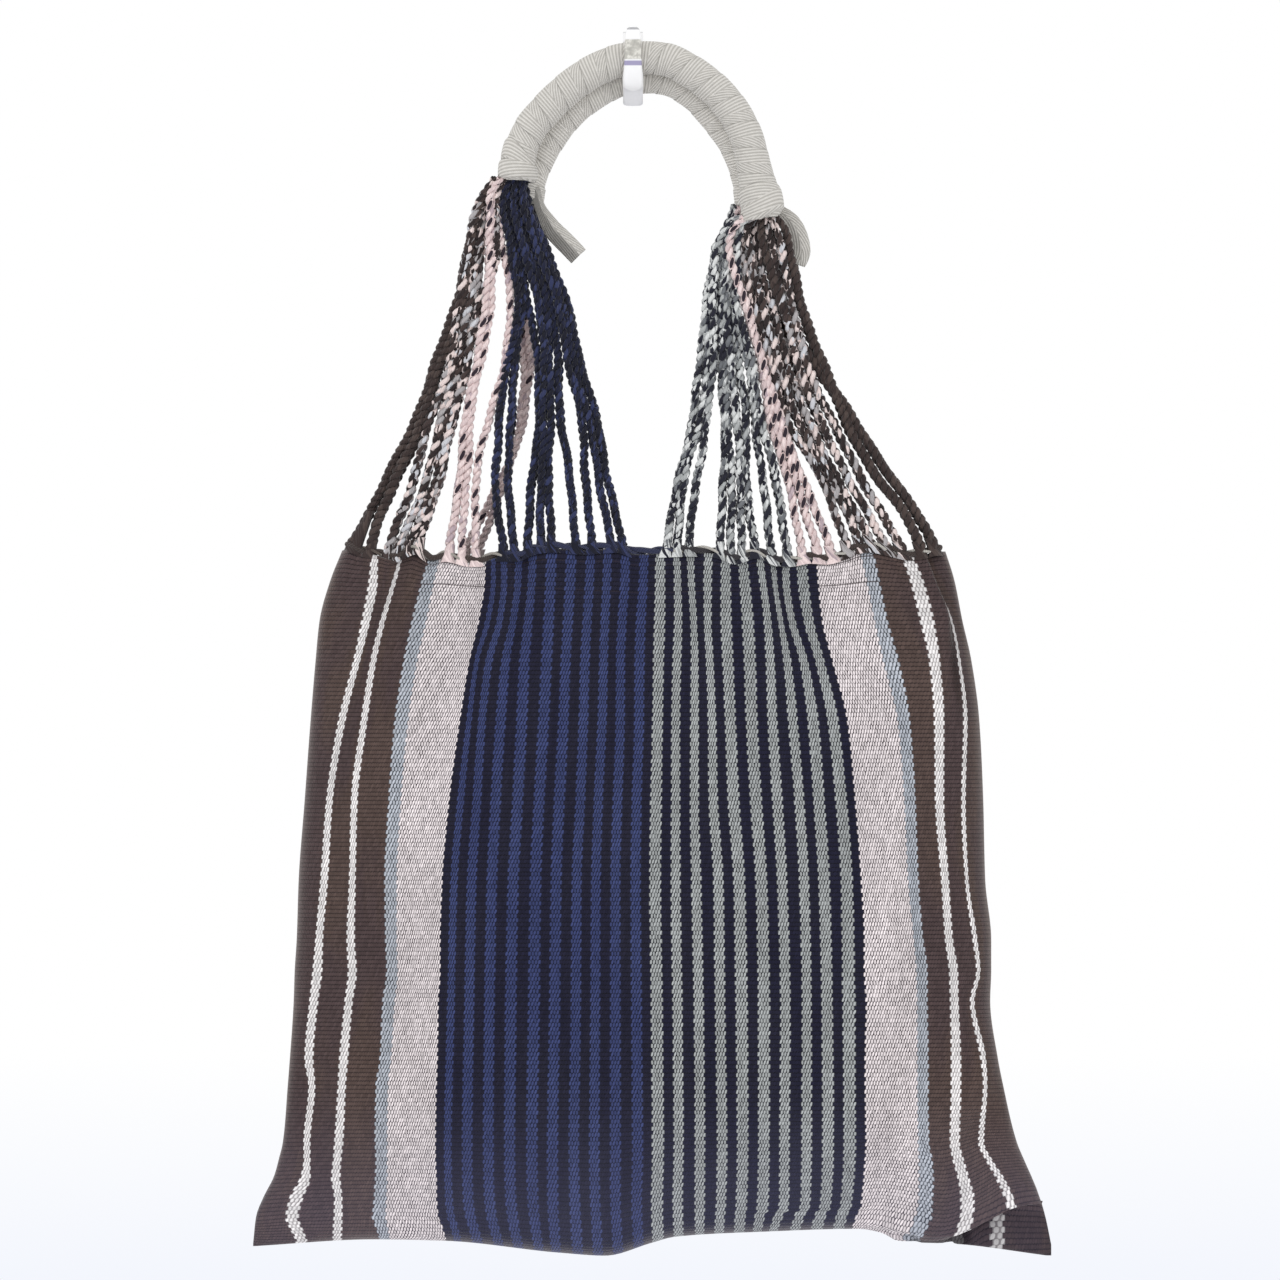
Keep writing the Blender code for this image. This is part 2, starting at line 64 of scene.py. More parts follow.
# Places across the flat cloth where the side stripes begin and end, and where they run on the
# front of the hanging bag: a row is a level, then a place for each of them. The places were read
# off enlarged views of the photo.  A scratch program turned the readings into millimetres,
# interpolated them to these levels and rounded them, and some places of the outline were then
# corrected against its measured silhouette.  At the right the last rows hold the underside that
# shows below the turned-up corner.
SIDE_FLAT = (0.0, 21.2, 25.9, 39.3, 44.8, 61.3, 67.3, 95.5, 307.5, 333.0, 339.2, 351.2,
             355.8, 362.8, 365.7, 370.3, 400.0)
SIDE_RUNS = (
    (-245, -144.8, -131.5, -128.5, -117, -115, -103, -97.5, -74.5, 91.5, 111.5, 118, 133.5,
     138.5, 146, 145, 145.5, 156),
    (-261.5, -152, -133.5, -128.5, -121.5, -119, -107.5, -101, -75, 92.5, 115.5, 122, 139,
     145, 152, 151, 151.5, 161.5),
    (-281.5, -157.5, -137, -132, -127.5, -124.5, -112.5, -105, -78, 94.5, 119.5, 126, 144,
     150, 159, 159, 160.5, 165.5),
    (-301.5, -159.5, -141, -137, -132.5, -129, -116.5, -109.5, -82.5, 99.5, 123.5, 131.5,
     148.5, 153.5, 159.5, 162, 164.5, 170),
    (-331.5, -162, -148.5, -144.5, -137.5, -133.5, -121, -114, -87.5, 107, 131, 137.5, 151,
     155.5, 162, 164.5, 168, 174),
    (-372, -165, -154.5, -151, -142.5, -138.5, -124, -117.5, -93, 111, 134.5, 140.5, 151.5,
     155.5, 161, 163.5, 167, 176),
    (-412, -168, -157.5, -153.5, -143.5, -139.5, -126, -119.5, -96.5, 114, 136.5, 142,
     154.5, 158, 163.5, 165.5, 168.5, 177),
    (-442, -169, -160, -156, -145, -140, -125.5, -119.5, -97.5, 115.5, 139.5, 144.5, 156.5,
     160, 166.5, 169, 173, 180),
    (-457.5, -170, -161.5, -156.5, -144.5, -139, -125, -119, -97.5, 115.5, 140.5, 146.5,
     158.5, 162.5, 168.5, 171, 174.5, 180),
    (-472.5, -170.5, -163, -158.5, -146, -141, -127, -120.5, -98.5, 116.5, 141, 146.5, 159,
     163, 166.5, 168, 171.5, 179.5),
    (-502.5, -172.5, -165.5, -161, -149, -143.5, -128.5, -122.5, -99, 116, 141, 147, 159.5,
     164, 170.5, 173, 177.5, 183.5),
    (-515, -173.5, -163.5, -160, -149.5, -144.5, -130.5, -124, -99.5, 116, 141, 147, 159.5,
     164, 171.5, 174.5, 178, 186),
    (-544, -176, -166, -162.5, -151.5, -146, -131, -124.5, -100, 116.5, 141.5, 147.5, 159,
     163.5, 169.5, 172, 176.5, 193),
    (-552.5, -178, -166, -162.5, -152, -147, -130.5, -124.5, -100, 116, 141.5, 149, 160.5,
     165.5, 172.5, 175.5, 180.5, 196.5),
    (-561.5, -180.5, -168, -162.5, -153, -147.5, -131, -124.5, -99.5, 115.5, 141.5, 149.5,
     163, 168, 176.5, 180, 186.5, 200.5),
    (-571.5, -185.5, -173.5, -166.5, -151.5, -146.5, -131.5, -125, -99.5, 114.5, 141.5, 149,
     164.5, 170.5, 180, 184, 191.5, 204.5),
    (-582, -189.5, -175.5, -169, -152, -146.5, -132.5, -125.5, -98.5, 113.5, 139.5, 148.5,
     164.5, 170.5, 181, 186.5, 194, 207.5),
    (-595.5, -191, -170.5, -164.5, -152.5, -147, -129, -123.5, -95, 110, 134, 142.5, 159.5,
     165.5, 173, 176.5, 187, 210.3),
)

# The same for the middles of the ten blue and the ten light stripes, from the same source.
STRIPES = 10
BLUE_FIRST, BLUE_PITCH, BLUE_WIDTH = 104.0, 10.0, 5.0
LIGHT_FIRST, LIGHT_PITCH, LIGHT_WIDTH = 204.0, 10.72, 5.4
CENTRE_RUNS = (
    (-245, -70, -65, -57, -50.5, -41, -30.5, -21, -12.5, -4, 5.5, 13.5, 21.5, 28.5, 38,
     46.5, 54.5, 63, 70, 76.5, 84),
    (-271.5, -70, -64.5, -58, -51.5, -42, -31.5, -22, -13.5, -4.5, 4.5, 13.5, 23, 29.5, 37,
     46.5, 56.5, 66.5, 72, 77, 86),
    (-291.5, -76.5, -70, -62.5, -54, -43, -33, -23.5, -14.5, -6.5, 3, 13, 22.5, 31, 37.5,
     47, 58, 68.5, 76, 83, 90.5),
    (-321.5, -81, -75, -65.5, -55.5, -44.5, -34, -24.5, -15, -6.5, 3, 12.5, 21.5, 31, 39.5,
     48.5, 59, 69.5, 79, 89.5, 98.5),
    (-350.5, -84, -76.5, -67.5, -56.5, -46, -35.5, -25, -16.5, -7, 2, 12, 21.5, 30.5, 39,
     49, 60, 71, 81.5, 91.5, 102),
    (-407, -89.5, -80.5, -70.5, -60, -49, -38, -28, -18.5, -9, 1, 11, 21.5, 31.5, 42.5, 53,
     64, 74.5, 85.5, 95.5, 107),
    (-482.5, -91.5, -82, -72, -61.5, -50, -39, -28.5, -19, -9, 1.5, 12, 22.5, 33, 43.5,
     54.5, 65.5, 76.5, 87, 97.5, 108),
    (-547.5, -93, -83, -72.5, -62, -51, -40, -29.5, -19.5, -9, 2, 12.5, 23, 33.5, 44.5, 55,
     65.5, 76, 87, 98, 108.5),
    (-573, -92.5, -82.5, -72, -61.5, -50.5, -40, -29, -19, -9, 1.5, 12, 22.5, 33.5, 44,
     54.5, 65, 76, 86.5, 97, 107),
    (-595.5, -88.5, -78, -67.5, -58, -47.5, -38.5, -27.5, -17.5, -7.5, 2.5, 12.5, 23, 33.5,
     43, 53.5, 62.5, 70.5, 81.5, 92.5, 103.5),
)
BACK_LEVEL = -412.0       # the back's stripes follow the front's at this level

# Depth of the section at each height above the fold: where front and back are joined, how
# far each stands off from that, and how square the section is.
DEPTHS = (
    (0, -23.5, 13, 12, 2.2), (12, -23.5, 13.5, 12.5, 2.2), (22, -24, 16, 14, 2.3),
    (33, -24.5, 18, 15.5, 2.3), (50, -25.5, 20.5, 17, 2.4), (73, -26.5, 23, 18.5, 2.5),
    (96, -27.5, 25, 20, 2.5), (125, -28, 26.5, 21, 2.6), (190, -28.5, 28, 22.5, 2.6),
    (237, -28.5, 27.5, 22.5, 2.6), (275, -28, 26, 22, 2.6), (314, -27.5, 23.5, 20.5, 2.7),
    (329, -27, 22, 20, 2.8), (342, -26.5, 20.5, 19, 2.9), (349, -26, 20, 18.5, 3),
)

# The pleat at the mouth's right corner: where it begins across the cloth, how wide its edge
# is, how far behind it the cloth lies and between which levels it dies away.
TUCK_ACROSS, TUCK_EDGE, TUCK_DEPTH = 362.8, 2.6, 3.6
TUCK_FROM, TUCK_TO = -280.0, -308.0
OUTER_ACROSS = 372.0      # from here outwards the pleat gets shallower, over TUCK_SOFT, and
TUCK_SOFT, CORNER_SOFT = 26.0, 28.0  # the corner takes up its own outline, over CORNER_SOFT

# How the bottom edge rises and dips along its length, and how far the front's own edge is
# lifted above it where the corner is turned up.
BOTTOM_EDGE = (
    (-190, 0.8), (-130, 4.2), (-95, 3.5), (-37, -2.5), (-14, -4), (9.5, 2.5), (21, 5.5), (64, 8),
    (113, 9.5), (135, 3), (160, 2), (208, -4),
)
FRONT_LIFT = (
    (-200, 0), (113, 0), (122, 2), (136, 4.5), (145, 4), (151, 0.5), (156, 0.3), (159.5, 1.2),
    (164.5, 4), (172, 8.5), (177, 12), (184.5, 16.5), (192.5, 21), (199.5, 24), (206, 26),
)
# The cloth's way round a turned-up part of the fold: share of the fold, how far to the front
# it lies, how far it has gone down to the turned edge, on to the bottom and up the back, and
# how far its threads have moved over to where they run below the turned edge.
Turn = namedtuple("Turn", "share forward edge bottom back over")
TURNED = (
    (0, 1, 0, 0, 0, 0), (0.17, 0.98, 0.96, 0, 0, 0), (0.22, 0.86, 1, 0, 0, 0.15),
    (0.33, 0.42, 0.98, 0, 0, 0.85), (0.38, 0.32, 1, 0.1, 0, 1), (0.78, 0.12, 1, 0.94, 0, 1),
    (0.84, -0.1, 1, 1, 0, 1), (0.92, -0.75, 1, 1, 0.3, 1), (1, -1, 1, 1, 1, 1),
)
# The uneven edge of the mouth: how far it stands above its level, drawn up by the cords.
MOUTH_EDGE = (
    (-146, 1.5), (-142, 2.5), (-137, 0.5), (-128, -1), (-121, -3), (-113.5, 0), (-109.5, 1.5),
    (-105, -1.5), (-101, -4), (-94.5, -2), (-82, -4.6), (-77, -4.6), (-68, -2), (-58, -2),
    (-49, 1.5), (-41, 2.5), (-24, 1.5), (-9, 2.5), (2, -0.5), (13.5, 0), (31, 0.5), (40, 0),
    (51.5, -3.4), (62, -0.5), (72, -4.2), (79, -4.6), (89, -3), (97, -3.5), (106.5, -1), (113, 2),
    (119, 2.5), (129, 0.5), (139, -1.5), (144, -1), (152, 1),
)

# Creases and pleats of the front, from one point (x, z) to another, with their spread and
# depth: troughs where the depth is positive, ridges where not.
CREASES = (
    (-177, -586, -150, -596, 9, 2.5), (187, -515, 173, -540, 9, 3), (173, -540, 189, -580, 9, 3),
    (-161, -512, -158, -548, 8, 2), (-53.5, -246, -60, -296, 5, 2),
    (29, -246, 31.5, -292, 4.5, 1.6), (72, -246, 80, -305, 4, 2.6),
    (-110, -250, -122, -330, 8, 2.2), (-126, -250, -142, -330, 7, -1.6),
    (139, -290, 150, -340, 7, -1.4),
)


def smooth(t):
    t = np.clip(t, 0.0, 1.0)
    return t * t * (3.0 - 2.0 * t)


def unit(vectors):
    """Rows of vectors, each scaled to a length of one."""
    return vectors / np.linalg.norm(vectors, axis=1)[:, None]


def path_places(points):
    """How far along its path each point lies."""
    return np.concatenate([[0.0], np.cumsum(np.linalg.norm(np.diff(points, axis=0), axis=1))])


def spread(*values):
    """A grid that holds one number of each of the values at every place."""
    return np.stack(np.broadcast_arrays(*values), 2)


def slopes(places, values):
    """Slopes of a smooth curve through the values that never overshoots them."""
    step = np.diff(places)
    grade = np.diff(values, axis=0) / step[:, None]
    out = np.zeros_like(values)
    same = grade[1:] * grade[:-1] > 0.0
    ahead, behind = (2.0 * step[1:] + step[:-1])[:, None], (step[1:] + 2.0 * step[:-1])[:, None]
    with np.errstate(divide="ignore", invalid="ignore"):
        mean = (ahead + behind) / (ahead / grade[:-1] + behind / grade[1:])
    out[1:-1] = np.where(same, mean, 0.0)
    out[0], out[-1] = grade[0], grade[-1]
    return out


def hermite(places, values, slope, wanted):
    """The curve through rows of values with the given slopes, at the wanted places."""
    at = np.clip(np.searchsorted(places, wanted) - 1, 0, len(places) - 2)
    step = (places[at + 1] - places[at])[:, None]
    t = (wanted - places[at])[:, None] / step
    return ((1 + 2 * t) * (1 - t) ** 2 * values[at] + t * (1 - t) ** 2 * step * slope[at]
            + t * t * (3 - 2 * t) * values[at + 1] + t * t * (t - 1) * step * slope[at + 1])


def curve_at(places, values, wanted, ends=None):
    """Smooth interpolation of values, or rows of values, that never overshoots them."""
    places, values = np.asarray(places, float), np.asarray(values, float)
    flat = values.ndim == 1
    if flat:
        values = values[:, None]
    slope = slopes(places, values)
    if ends is not None:
        slope[0] = slope[-1] = ends
    out = hermite(places, values, slope, np.clip(np.asarray(wanted, float), places[0], places[-1]))
    return out[:, 0] if flat else out


def free_curve(places, values, wanted):
    """Smooth interpolation that passes evenly through the values."""
    return hermite(places, values, np.gradient(values, places, axis=0), wanted)


def stripe_tables():
    """Flat places of all the stripe edges and middles, and their runs by level."""
    side, centre = np.array(SIDE_RUNS)[::-1], np.array(CENTRE_RUNS)[::-1]
    middle = curve_at(centre[:, 0], centre[:, 1:], side[:, 0])
    blues = BLUE_FIRST + BLUE_PITCH * np.arange(STRIPES)
    lights = LIGHT_FIRST + LIGHT_PITCH * np.arange(STRIPES)
    flat = np.concatenate([SIDE_FLAT[:8], blues, lights, SIDE_FLAT[8:]])
    runs = np.concatenate([side[:, 1:9], middle, side[:, 9:]], axis=1)
    return flat, side[:, 0], runs


FLAT_PLACES, RUN_LEVELS, RUNS = stripe_tables()


def stripe_x(across, level):
    """Where the cloth's threads lie at one level of the front."""
    keys = curve_at(RUN_LEVELS, RUNS, [level])[0]
    return curve_at(FLAT_PLACES, keys, across, ends=0.0)


def stripes_along(across, levels):
    """The same where each column of the cloth has a level of its own."""
    keys = curve_at(RUN_LEVELS, RUNS, levels)
    places = [curve_at(FLAT_PLACES, row, [place], ends=0.0)[0]
              for row, place in zip(keys, across)]
    return np.array(places), keys[:, 0], keys[:, -1]


def side_edges(level):
    return stripe_x(np.array([0.0, FLAT_WIDTH]), level)


def profile(table, x):
    """The second column of a table of two, at places in its first."""
    return curve_at(*np.array(table).T, x)


def level_values(table, up):
    """The rest of a table's row at each place in its first column."""
    rows = np.array(table)
    return curve_at(rows[:, 0], rows[:, 1:], up)


def bulge(x, low, high, power, inset=0.0):
    """How far the bag's section stands out: nought at its side edges, one in the middle."""
    share = np.clip(np.abs(x - (low + high) / 2.0) / ((high - low) / 2.0 - inset), 0.0, 1.0)
    return (1.0 - share ** power) ** (1.0 / power)


def crease_depth(x, z):
    """How far the creases push the front of the cloth back."""
    depth = np.zeros_like(x)
    for from_x, from_z, to_x, to_z, spread_out, deep in CREASES:
        ax, az = to_x - from_x, to_z - from_z
        share = np.clip(((x - from_x) * ax + (z - from_z) * az) / (ax * ax + az * az), 0.0, 1.0)
        gap = np.hypot(x - from_x - share * ax, z - from_z - share * az) / spread_out
        depth += deep * np.exp(-gap * gap)
    return depth


def make_mesh(name, points, faces, uvs=None, layer="weave"):
    """A smooth mesh in metres from points in millimetres; uvs has one row for each corner."""
    mesh = bpy.data.meshes.new(name)
    faces = np.asarray(faces)
    mesh.vertices.add(len(points))
    mesh.vertices.foreach_set("co", (np.asarray(points, float) * MM).ravel())
    count = faces.shape[1]
    mesh.loops.add(faces.size)
    mesh.loops.foreach_set("vertex_index", faces.ravel())
    mesh.polygons.add(len(faces))
    mesh.polygons.foreach_set("loop_start", np.arange(len(faces)) * count)
    mesh.polygons.foreach_set("loop_total", np.full(len(faces), count))
    if uvs is not None:
        mesh.uv_layers.new(name=layer).data.foreach_set("uv", np.asarray(uvs, float).ravel())
    mesh.update()
    mesh.validate()
    mesh.shade_smooth()
    thing = bpy.data.objects.new(name, mesh)
    bpy.context.scene.collection.objects.link(thing)
    return thing


def hand_over(piece, material, node):
    """Gives a piece its material, attaches it to the root body and hides the CAD part it stands
    for.
    """
    piece.data.materials.append(material)
    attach(piece, "root")
    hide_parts(node)


def thicken(piece, thickness, offset):
    solid = piece.modifiers.new("thickness", "SOLIDIFY")
    solid.thickness = thickness * MM
    solid.offset = offset
    return solid


class Soup:
    """Grids of quads gathered into one mesh."""

    def __init__(self):
        self.points, self.faces, self.uvs, self.count = [], [], [], 0

    def grid(self, points, uv, wrap=False):
        """points is rows x columns x 3 and uv rows x columns(+1 if it wraps) x 2."""
        rows, columns = points.shape[:2]
        across = columns if wrap else columns - 1
        r, c = np.meshgrid(np.arange(rows - 1), np.arange(across), indexing="ij")
        r, c = r.ravel(), c.ravel()
        n = (c + 1) % columns
        corner = [(r, c, c), (r, n, c + 1), (r + 1, n, c + 1), (r + 1, c, c)]
        self.faces.append(self.count + np.stack([a * columns + b for a, b, _ in corner], 1))
        self.uvs.append(np.stack([uv[a, k] for a, _, k in corner], 1).reshape(-1, 2))
        self.points.append(points.reshape(-1, 3))
        self.count += rows * columns

    def cap(self, ring, uv):
        """Closes a ring of points with quads to a middle point."""
        sides = len(ring)
        middle = ring.mean(axis=0)
        self.points.append(np.vstack([ring, middle]))
        k = np.arange(0, sides, 2)
        quads = np.stack([k, (k + 1) % sides, (k + 2) % sides, np.full(len(k), sides)], 1)
        self.faces.append(self.count + quads)
        self.uvs.append(np.tile(uv, (4 * len(k), 1)))
        self.count += sides + 1

    def build(self, name):
        return make_mesh(name, np.vstack(self.points), np.vstack(self.faces), np.vstack(self.uvs))


# ------------------------------------------------------------------ materials
MIX_FIRST, MIX_SECOND, MIX_RESULT = 6, 7, 2  # a mix node's sockets for colours


class Nodes:
    """A node tree, built by short calls."""

    def __init__(self, tree):
        self.tree = tree

    def node(self, kind, inputs=None, **settings):
        made = self.tree.nodes.new("ShaderNode" + kind)
        for key, value in settings.items():
            setattr(made, key, value)
        for socket, value in (inputs or {}).items():
            self.feed(made.inputs[socket], value)
        return made

    def feed(self, socket, value):
        if isinstance(value, bpy.types.NodeSocket):
            self.tree.links.new(value, socket)
        else:
            socket.default_value = value

    def fill(self, made, values):
        """Feeds a node's first inputs, and gives its first output."""
        for socket, value in zip(made.inputs, values):
            self.feed(socket, value)
        return made.outputs[0]

    def math(self, operation, *values):
        return self.fill(self.node("Math", operation=operation), values)

    def plus(self, first, second):
        return self.math("ADD", first, second)

    def minus(self, first, second):
        return self.math("SUBTRACT", first, second)

    def times(self, first, second):
        return self.math("MULTIPLY", first, second)

    def ratio(self, first, second):
        return self.math("DIVIDE", first, second)

    def reach(self, value, low, high, to_low=0.0, to_high=1.0, kind="SMOOTHSTEP"):
        made = self.node("MapRange", interpolation_type=kind)
        return self.fill(made, (value, low, high, to_low, to_high))

    def vector(self, *values):
        return self.fill(self.node("CombineXYZ"), values)

    def parts(self, vector):
        return self.node("SeparateXYZ", {0: vector}).outputs

    def mix(self, share, first, second, blend="MIX"):
        made = self.node("Mix", {"Factor": share, MIX_FIRST: first, MIX_SECOND: second},
                         data_type="RGBA", blend_type=blend)
        return made.outputs[MIX_RESULT]

    def ramp(self, share, stops, kind="CONSTANT"):
        made = self.node("ValToRGB")
        ramp = made.color_ramp
        ramp.interpolation = kind
        while len(ramp.elements) < len(stops):
            ramp.elements.new(0.5)
        for element, (place, colour) in zip(ramp.elements, sorted(stops)):
            element.position = place
            element.color = colour
        return self.fill(made, (share,))

    def noise(self, vector, scale, detail, dimensions="3D"):
        made = self.node("TexNoise", {"Vector": vector, "Scale": scale, "Detail": detail},
                         noise_dimensions=dimensions)
        return made.outputs[0]

    def chance(self, number):
        """A random value for each whole number."""
        made = self.node("TexWhiteNoise", {"W": number}, noise_dimensions="1D")
        return made.outputs["Value"]

    def spot(self):
        """The place on the piece, in metres."""
        return self.node("TexCoord").outputs["Object"]


class Paint(Nodes):
    """A node material with a Principled shader."""

    def __init__(self, name, **finish):
        self.material = bpy.data.materials.new(name)
        self.material.use_nodes = True
        super().__init__(self.material.node_tree)
        self.shader = self.tree.nodes["Principled BSDF"]
        for socket, value in finish.items():
            self.shader.inputs[socket.replace("_", " ")].default_value = value

    def uv(self, layer="weave"):
        """The two UV values; those of the weave are millimetres on the cloth or cord."""
        return self.parts(self.node("UVMap", uv_map=layer).outputs[0])[:2]

    def dim(self, colour, light):
        return self.mix(1.0, colour, self.vector(light, light, light), "MULTIPLY")

    def base(self, colour):
        self.feed(self.shader.inputs["Base Color"], colour)

    def bump(self, height, distance, strength=1.0):
        made = self.node("Bump", {"Height": height, "Distance": distance, "Strength": strength})
        self.feed(self.shader.inputs["Normal"], made.outputs[0])


def srgb(red, green, blue):
    """A colour given by its screen values, as the linear colour that shaders use."""
    def linear(value):
        value /= 255.0
        return value / 12.92 if value <= 0.04045 else ((value + 0.055) / 1.055) ** 2.4
    return (linear(red), linear(green), linear(blue), 1.0)


BROWN, CREAM, GREYBLUE, PINK, BLACK = "brown", "cream", "greyblue", "pink", "black"
THREAD = {
    BROWN: srgb(83, 69, 67), CREAM: srgb(241, 238, 237), GREYBLUE: srgb(184, 189, 198),
    PINK: srgb(236, 227, 228), BLACK: srgb(33, 33, 51),
}
# The colours of the gaps between the ends are partly the weft that shows there and partly painted
# shade between the beads.
BETWEEN = {
    BROWN: srgb(42, 34, 35), CREAM: srgb(154, 148, 148), GREYBLUE: srgb(44, 50, 56),
    PINK: srgb(46, 37, 44), BLACK: srgb(16, 15, 27),
}
BLUE_THREAD, BLUE_BETWEEN = srgb(61, 70, 113), srgb(18, 20, 40)
LIGHT_THREAD, LIGHT_BETWEEN = srgb(170, 174, 174), srgb(24, 24, 30)
BANDS = tuple(zip(SIDE_FLAT, (
    BROWN, CREAM, BROWN, CREAM, BROWN, GREYBLUE, PINK, BLACK, PINK, GREYBLUE, BROWN, CREAM,
    BROWN, BROWN, CREAM, BROWN)))
RIBBED, BEADED = (0.35, 0.35, 0.35, 1.0), (1.0, 1.0, 1.0, 1.0)
BEADS = {BROWN: RIBBED, BLACK: RIBBED, CREAM: BEADED, GREYBLUE: BEADED, PINK: BEADED}
WARM, COOL = (1.09, 1.07, 0.95, 1.0), (0.95, 0.94, 1.04, 1.0)
# Painted light and shade on the cloth: an edge light, a blue light near the fold, shade under the
# turned-up corner and shade in the pleat; STRAY is the real colour of stray dark picks.
PAINTED_EDGE_LIGHT, PAINTED_FOLD_LIGHT, IN_SHADE, PLEAT_SHADE, STRAY = (
    srgb(158, 148, 143), srgb(176, 178, 222), srgb(30, 25, 32), srgb(22, 16, 16),
    srgb(60, 50, 52))
STRAY_PICKS = ((3.0, 0.02), (14.5, 0.04))  # how far below the mouth they begin, and slope
STRAY_FROM = 60.0         # and how far in from the side joins
PICK = 2.1                # step from one weft to the next
END = 1.45                # step between the warp ends that lie on top in one row


def stripes_mask(p, middle, first, pitch, width):
    """One inside a run of evenly spaced stripes, nought beside them."""
    low = first - width / 2.0
    run = p.math("FLOORED_MODULO", p.minus(middle, low), pitch)
    inside = p.math("LESS_THAN", run, width)
    inside = p.times(inside, p.math("GREATER_THAN", middle, low))
    return p.times(inside, p.math("LESS_THAN", middle, low + (STRIPES - 1) * pitch + width))


def by_band(p, band, values):
    """What the table of values holds for the stripe at each place."""
    return p.ramp(band, [(start / FLAT_WIDTH, values[name]) for start, name in BANDS])


def cloth_material():
    p = Paint("striped_cloth", Roughness=0.9, Sheen_Weight=0.26, Sheen_Roughness=0.4,
              Specular_IOR_Level=0.12)
    across, along = p.uv()
    # The warp ends lie like bricks: every other row is moved by half an end.
    row = p.math("FLOOR", p.ratio(along, PICK))
    odd = p.times(p.math("FLOORED_MODULO", row, 2.0), 0.5)
    place = p.minus(p.ratio(across, END), odd)
    column = p.math("FLOOR", place)
    middle = p.times(p.plus(p.plus(column, odd), 0.5), END)
    band = p.ratio(middle, FLAT_WIDTH)
    blues = stripes_mask(p, middle, BLUE_FIRST, BLUE_PITCH, BLUE_WIDTH)
    lights = stripes_mask(p, middle, LIGHT_FIRST, LIGHT_PITCH, LIGHT_WIDTH)
    beads = p.parts(by_band(p, band, BEADS))[0]
    beads = p.math("MAXIMUM", beads, p.math("MAXIMUM", lights, p.times(blues, 0.8)))

    # Each end is a bead, rounder where the cloth is beaded and uneven by chance.
    chance = p.node("TexWhiteNoise", {"Vector": p.vector(column, row)}, noise_dimensions="2D")
    random = chance.outputs["Value"]
    loose = p.parts(chance.outputs["Color"])[1]
    in_row = p.minus(p.minus(p.ratio(along, PICK), row), 0.5)
    lean = p.times(in_row, p.math("MULTIPLY_ADD", random, 0.5, -0.1))
    in_column = p.plus(p.minus(p.minus(place, column), 0.5), lean)
    wide = p.math("POWER", p.ratio(p.math("ABSOLUTE", in_column), 0.38), 2.4)
    height = p.math("MULTIPLY_ADD", beads, 0.12, 0.43)
    tall = p.math("POWER", p.ratio(p.math("ABSOLUTE", in_row), height), 2.6)
    edge = p.plus(p.times(wide, beads), tall)
    bead = p.reach(edge, 1.3, 0.5)
    dome = p.math("SQRT", p.math("MAXIMUM", p.minus(1.0, edge), 0.0))

    # Colours of the ends and of the gaps between them, lighter and darker here and there, and a
    # painted edge light where the cloth is seen from the side, standing in for light that wraps
    # round its edges.
    warp = p.mix(lights, p.mix(blues, by_band(p, band, THREAD), BLUE_THREAD), LIGHT_THREAD)
    gap = p.mix(lights, p.mix(blues, by_band(p, band, BETWEEN), BLUE_BETWEEN), LIGHT_BETWEEN)
    drift = p.noise(p.vector(p.times(across, 0.045), p.times(along, 0.012)), 1.0, 3.0, "2D")
    streak = p.noise(p.vector(p.times(column, 0.71), p.times(along, 0.02)), 1.0, 2.0, "2D")
    shallow = p.times(p.times(loose, loose), p.times(beads, 0.5))
    colour = p.mix(bead, p.mix(shallow, gap, warp), warp)
    light = p.math("MULTIPLY_ADD", random, 0.3, 0.82)
    light = p.times(light, p.math("MULTIPLY_ADD", streak, 0.24, 0.9))
    light = p.times(light, p.math("MULTIPLY_ADD", drift, 0.4, 0.8))
    # Painted shade: the cloth is a little darker within 70 mm below the mouth, where it lies
    # partly in shade.
    light = p.times(light, p.reach(along, 0.0, 70.0, 0.93, 1.0))
    colour = p.dim(colour, light)
    ribbed = p.minus(1.0, beads)
    colour = p.mix(ribbed, colour, p.mix(p.reach(drift, 0.38, 0.62), COOL, WARM), "MULTIPLY")
    # Painted edge light on the ribbed cloth, stronger where it faces away.
    facing = p.node("LayerWeight", {"Blend": 0.5}).outputs["Facing"]
    colour = p.mix(p.times(p.reach(facing, 0.15, 0.85, 0.0, 0.42), ribbed), colour, PAINTED_EDGE_LIGHT)

    # Painted shade: the dark line along the pleat, where shade falls in its fold; and a painted
    # faint blue light near the bottom fold, standing in for light from the pale floor.
    tuck = p.ratio(p.minus(across, TUCK_ACROSS + 2.2), 2.4)
    tuck = p.math("EXPONENT", p.times(p.times(tuck, tuck), -1.0))
    tuck = p.times(tuck, p.reach(along, 95.0, 55.0))
    colour = p.mix(p.times(tuck, 0.6), colour, PLEAT_SHADE)
    from_fold = p.math("ABSOLUTE", p.minus(along, FOLD_ALONG + FLAT_FOLD / 2.0))
    colour = p.mix(p.reach(from_fold, 100.0, 12.0, 0.0, 0.05), colour, PAINTED_FOLD_LIGHT)

    # The shade under the turned-up corner.
    shade = p.times(p.reach(along, FOLD_ALONG + 10.0, FOLD_ALONG + 14.0),
                    p.reach(along, FOLD_ALONG + 38.0, FOLD_ALONG + 34.0))
    shade = p.times(shade, p.reach(across, 335.0, 341.0))
    shade = p.times(shade, p.reach(across, 362.0, 357.0, 0.4, 0.9))
    colour = p.mix(shade, colour, IN_SHADE)

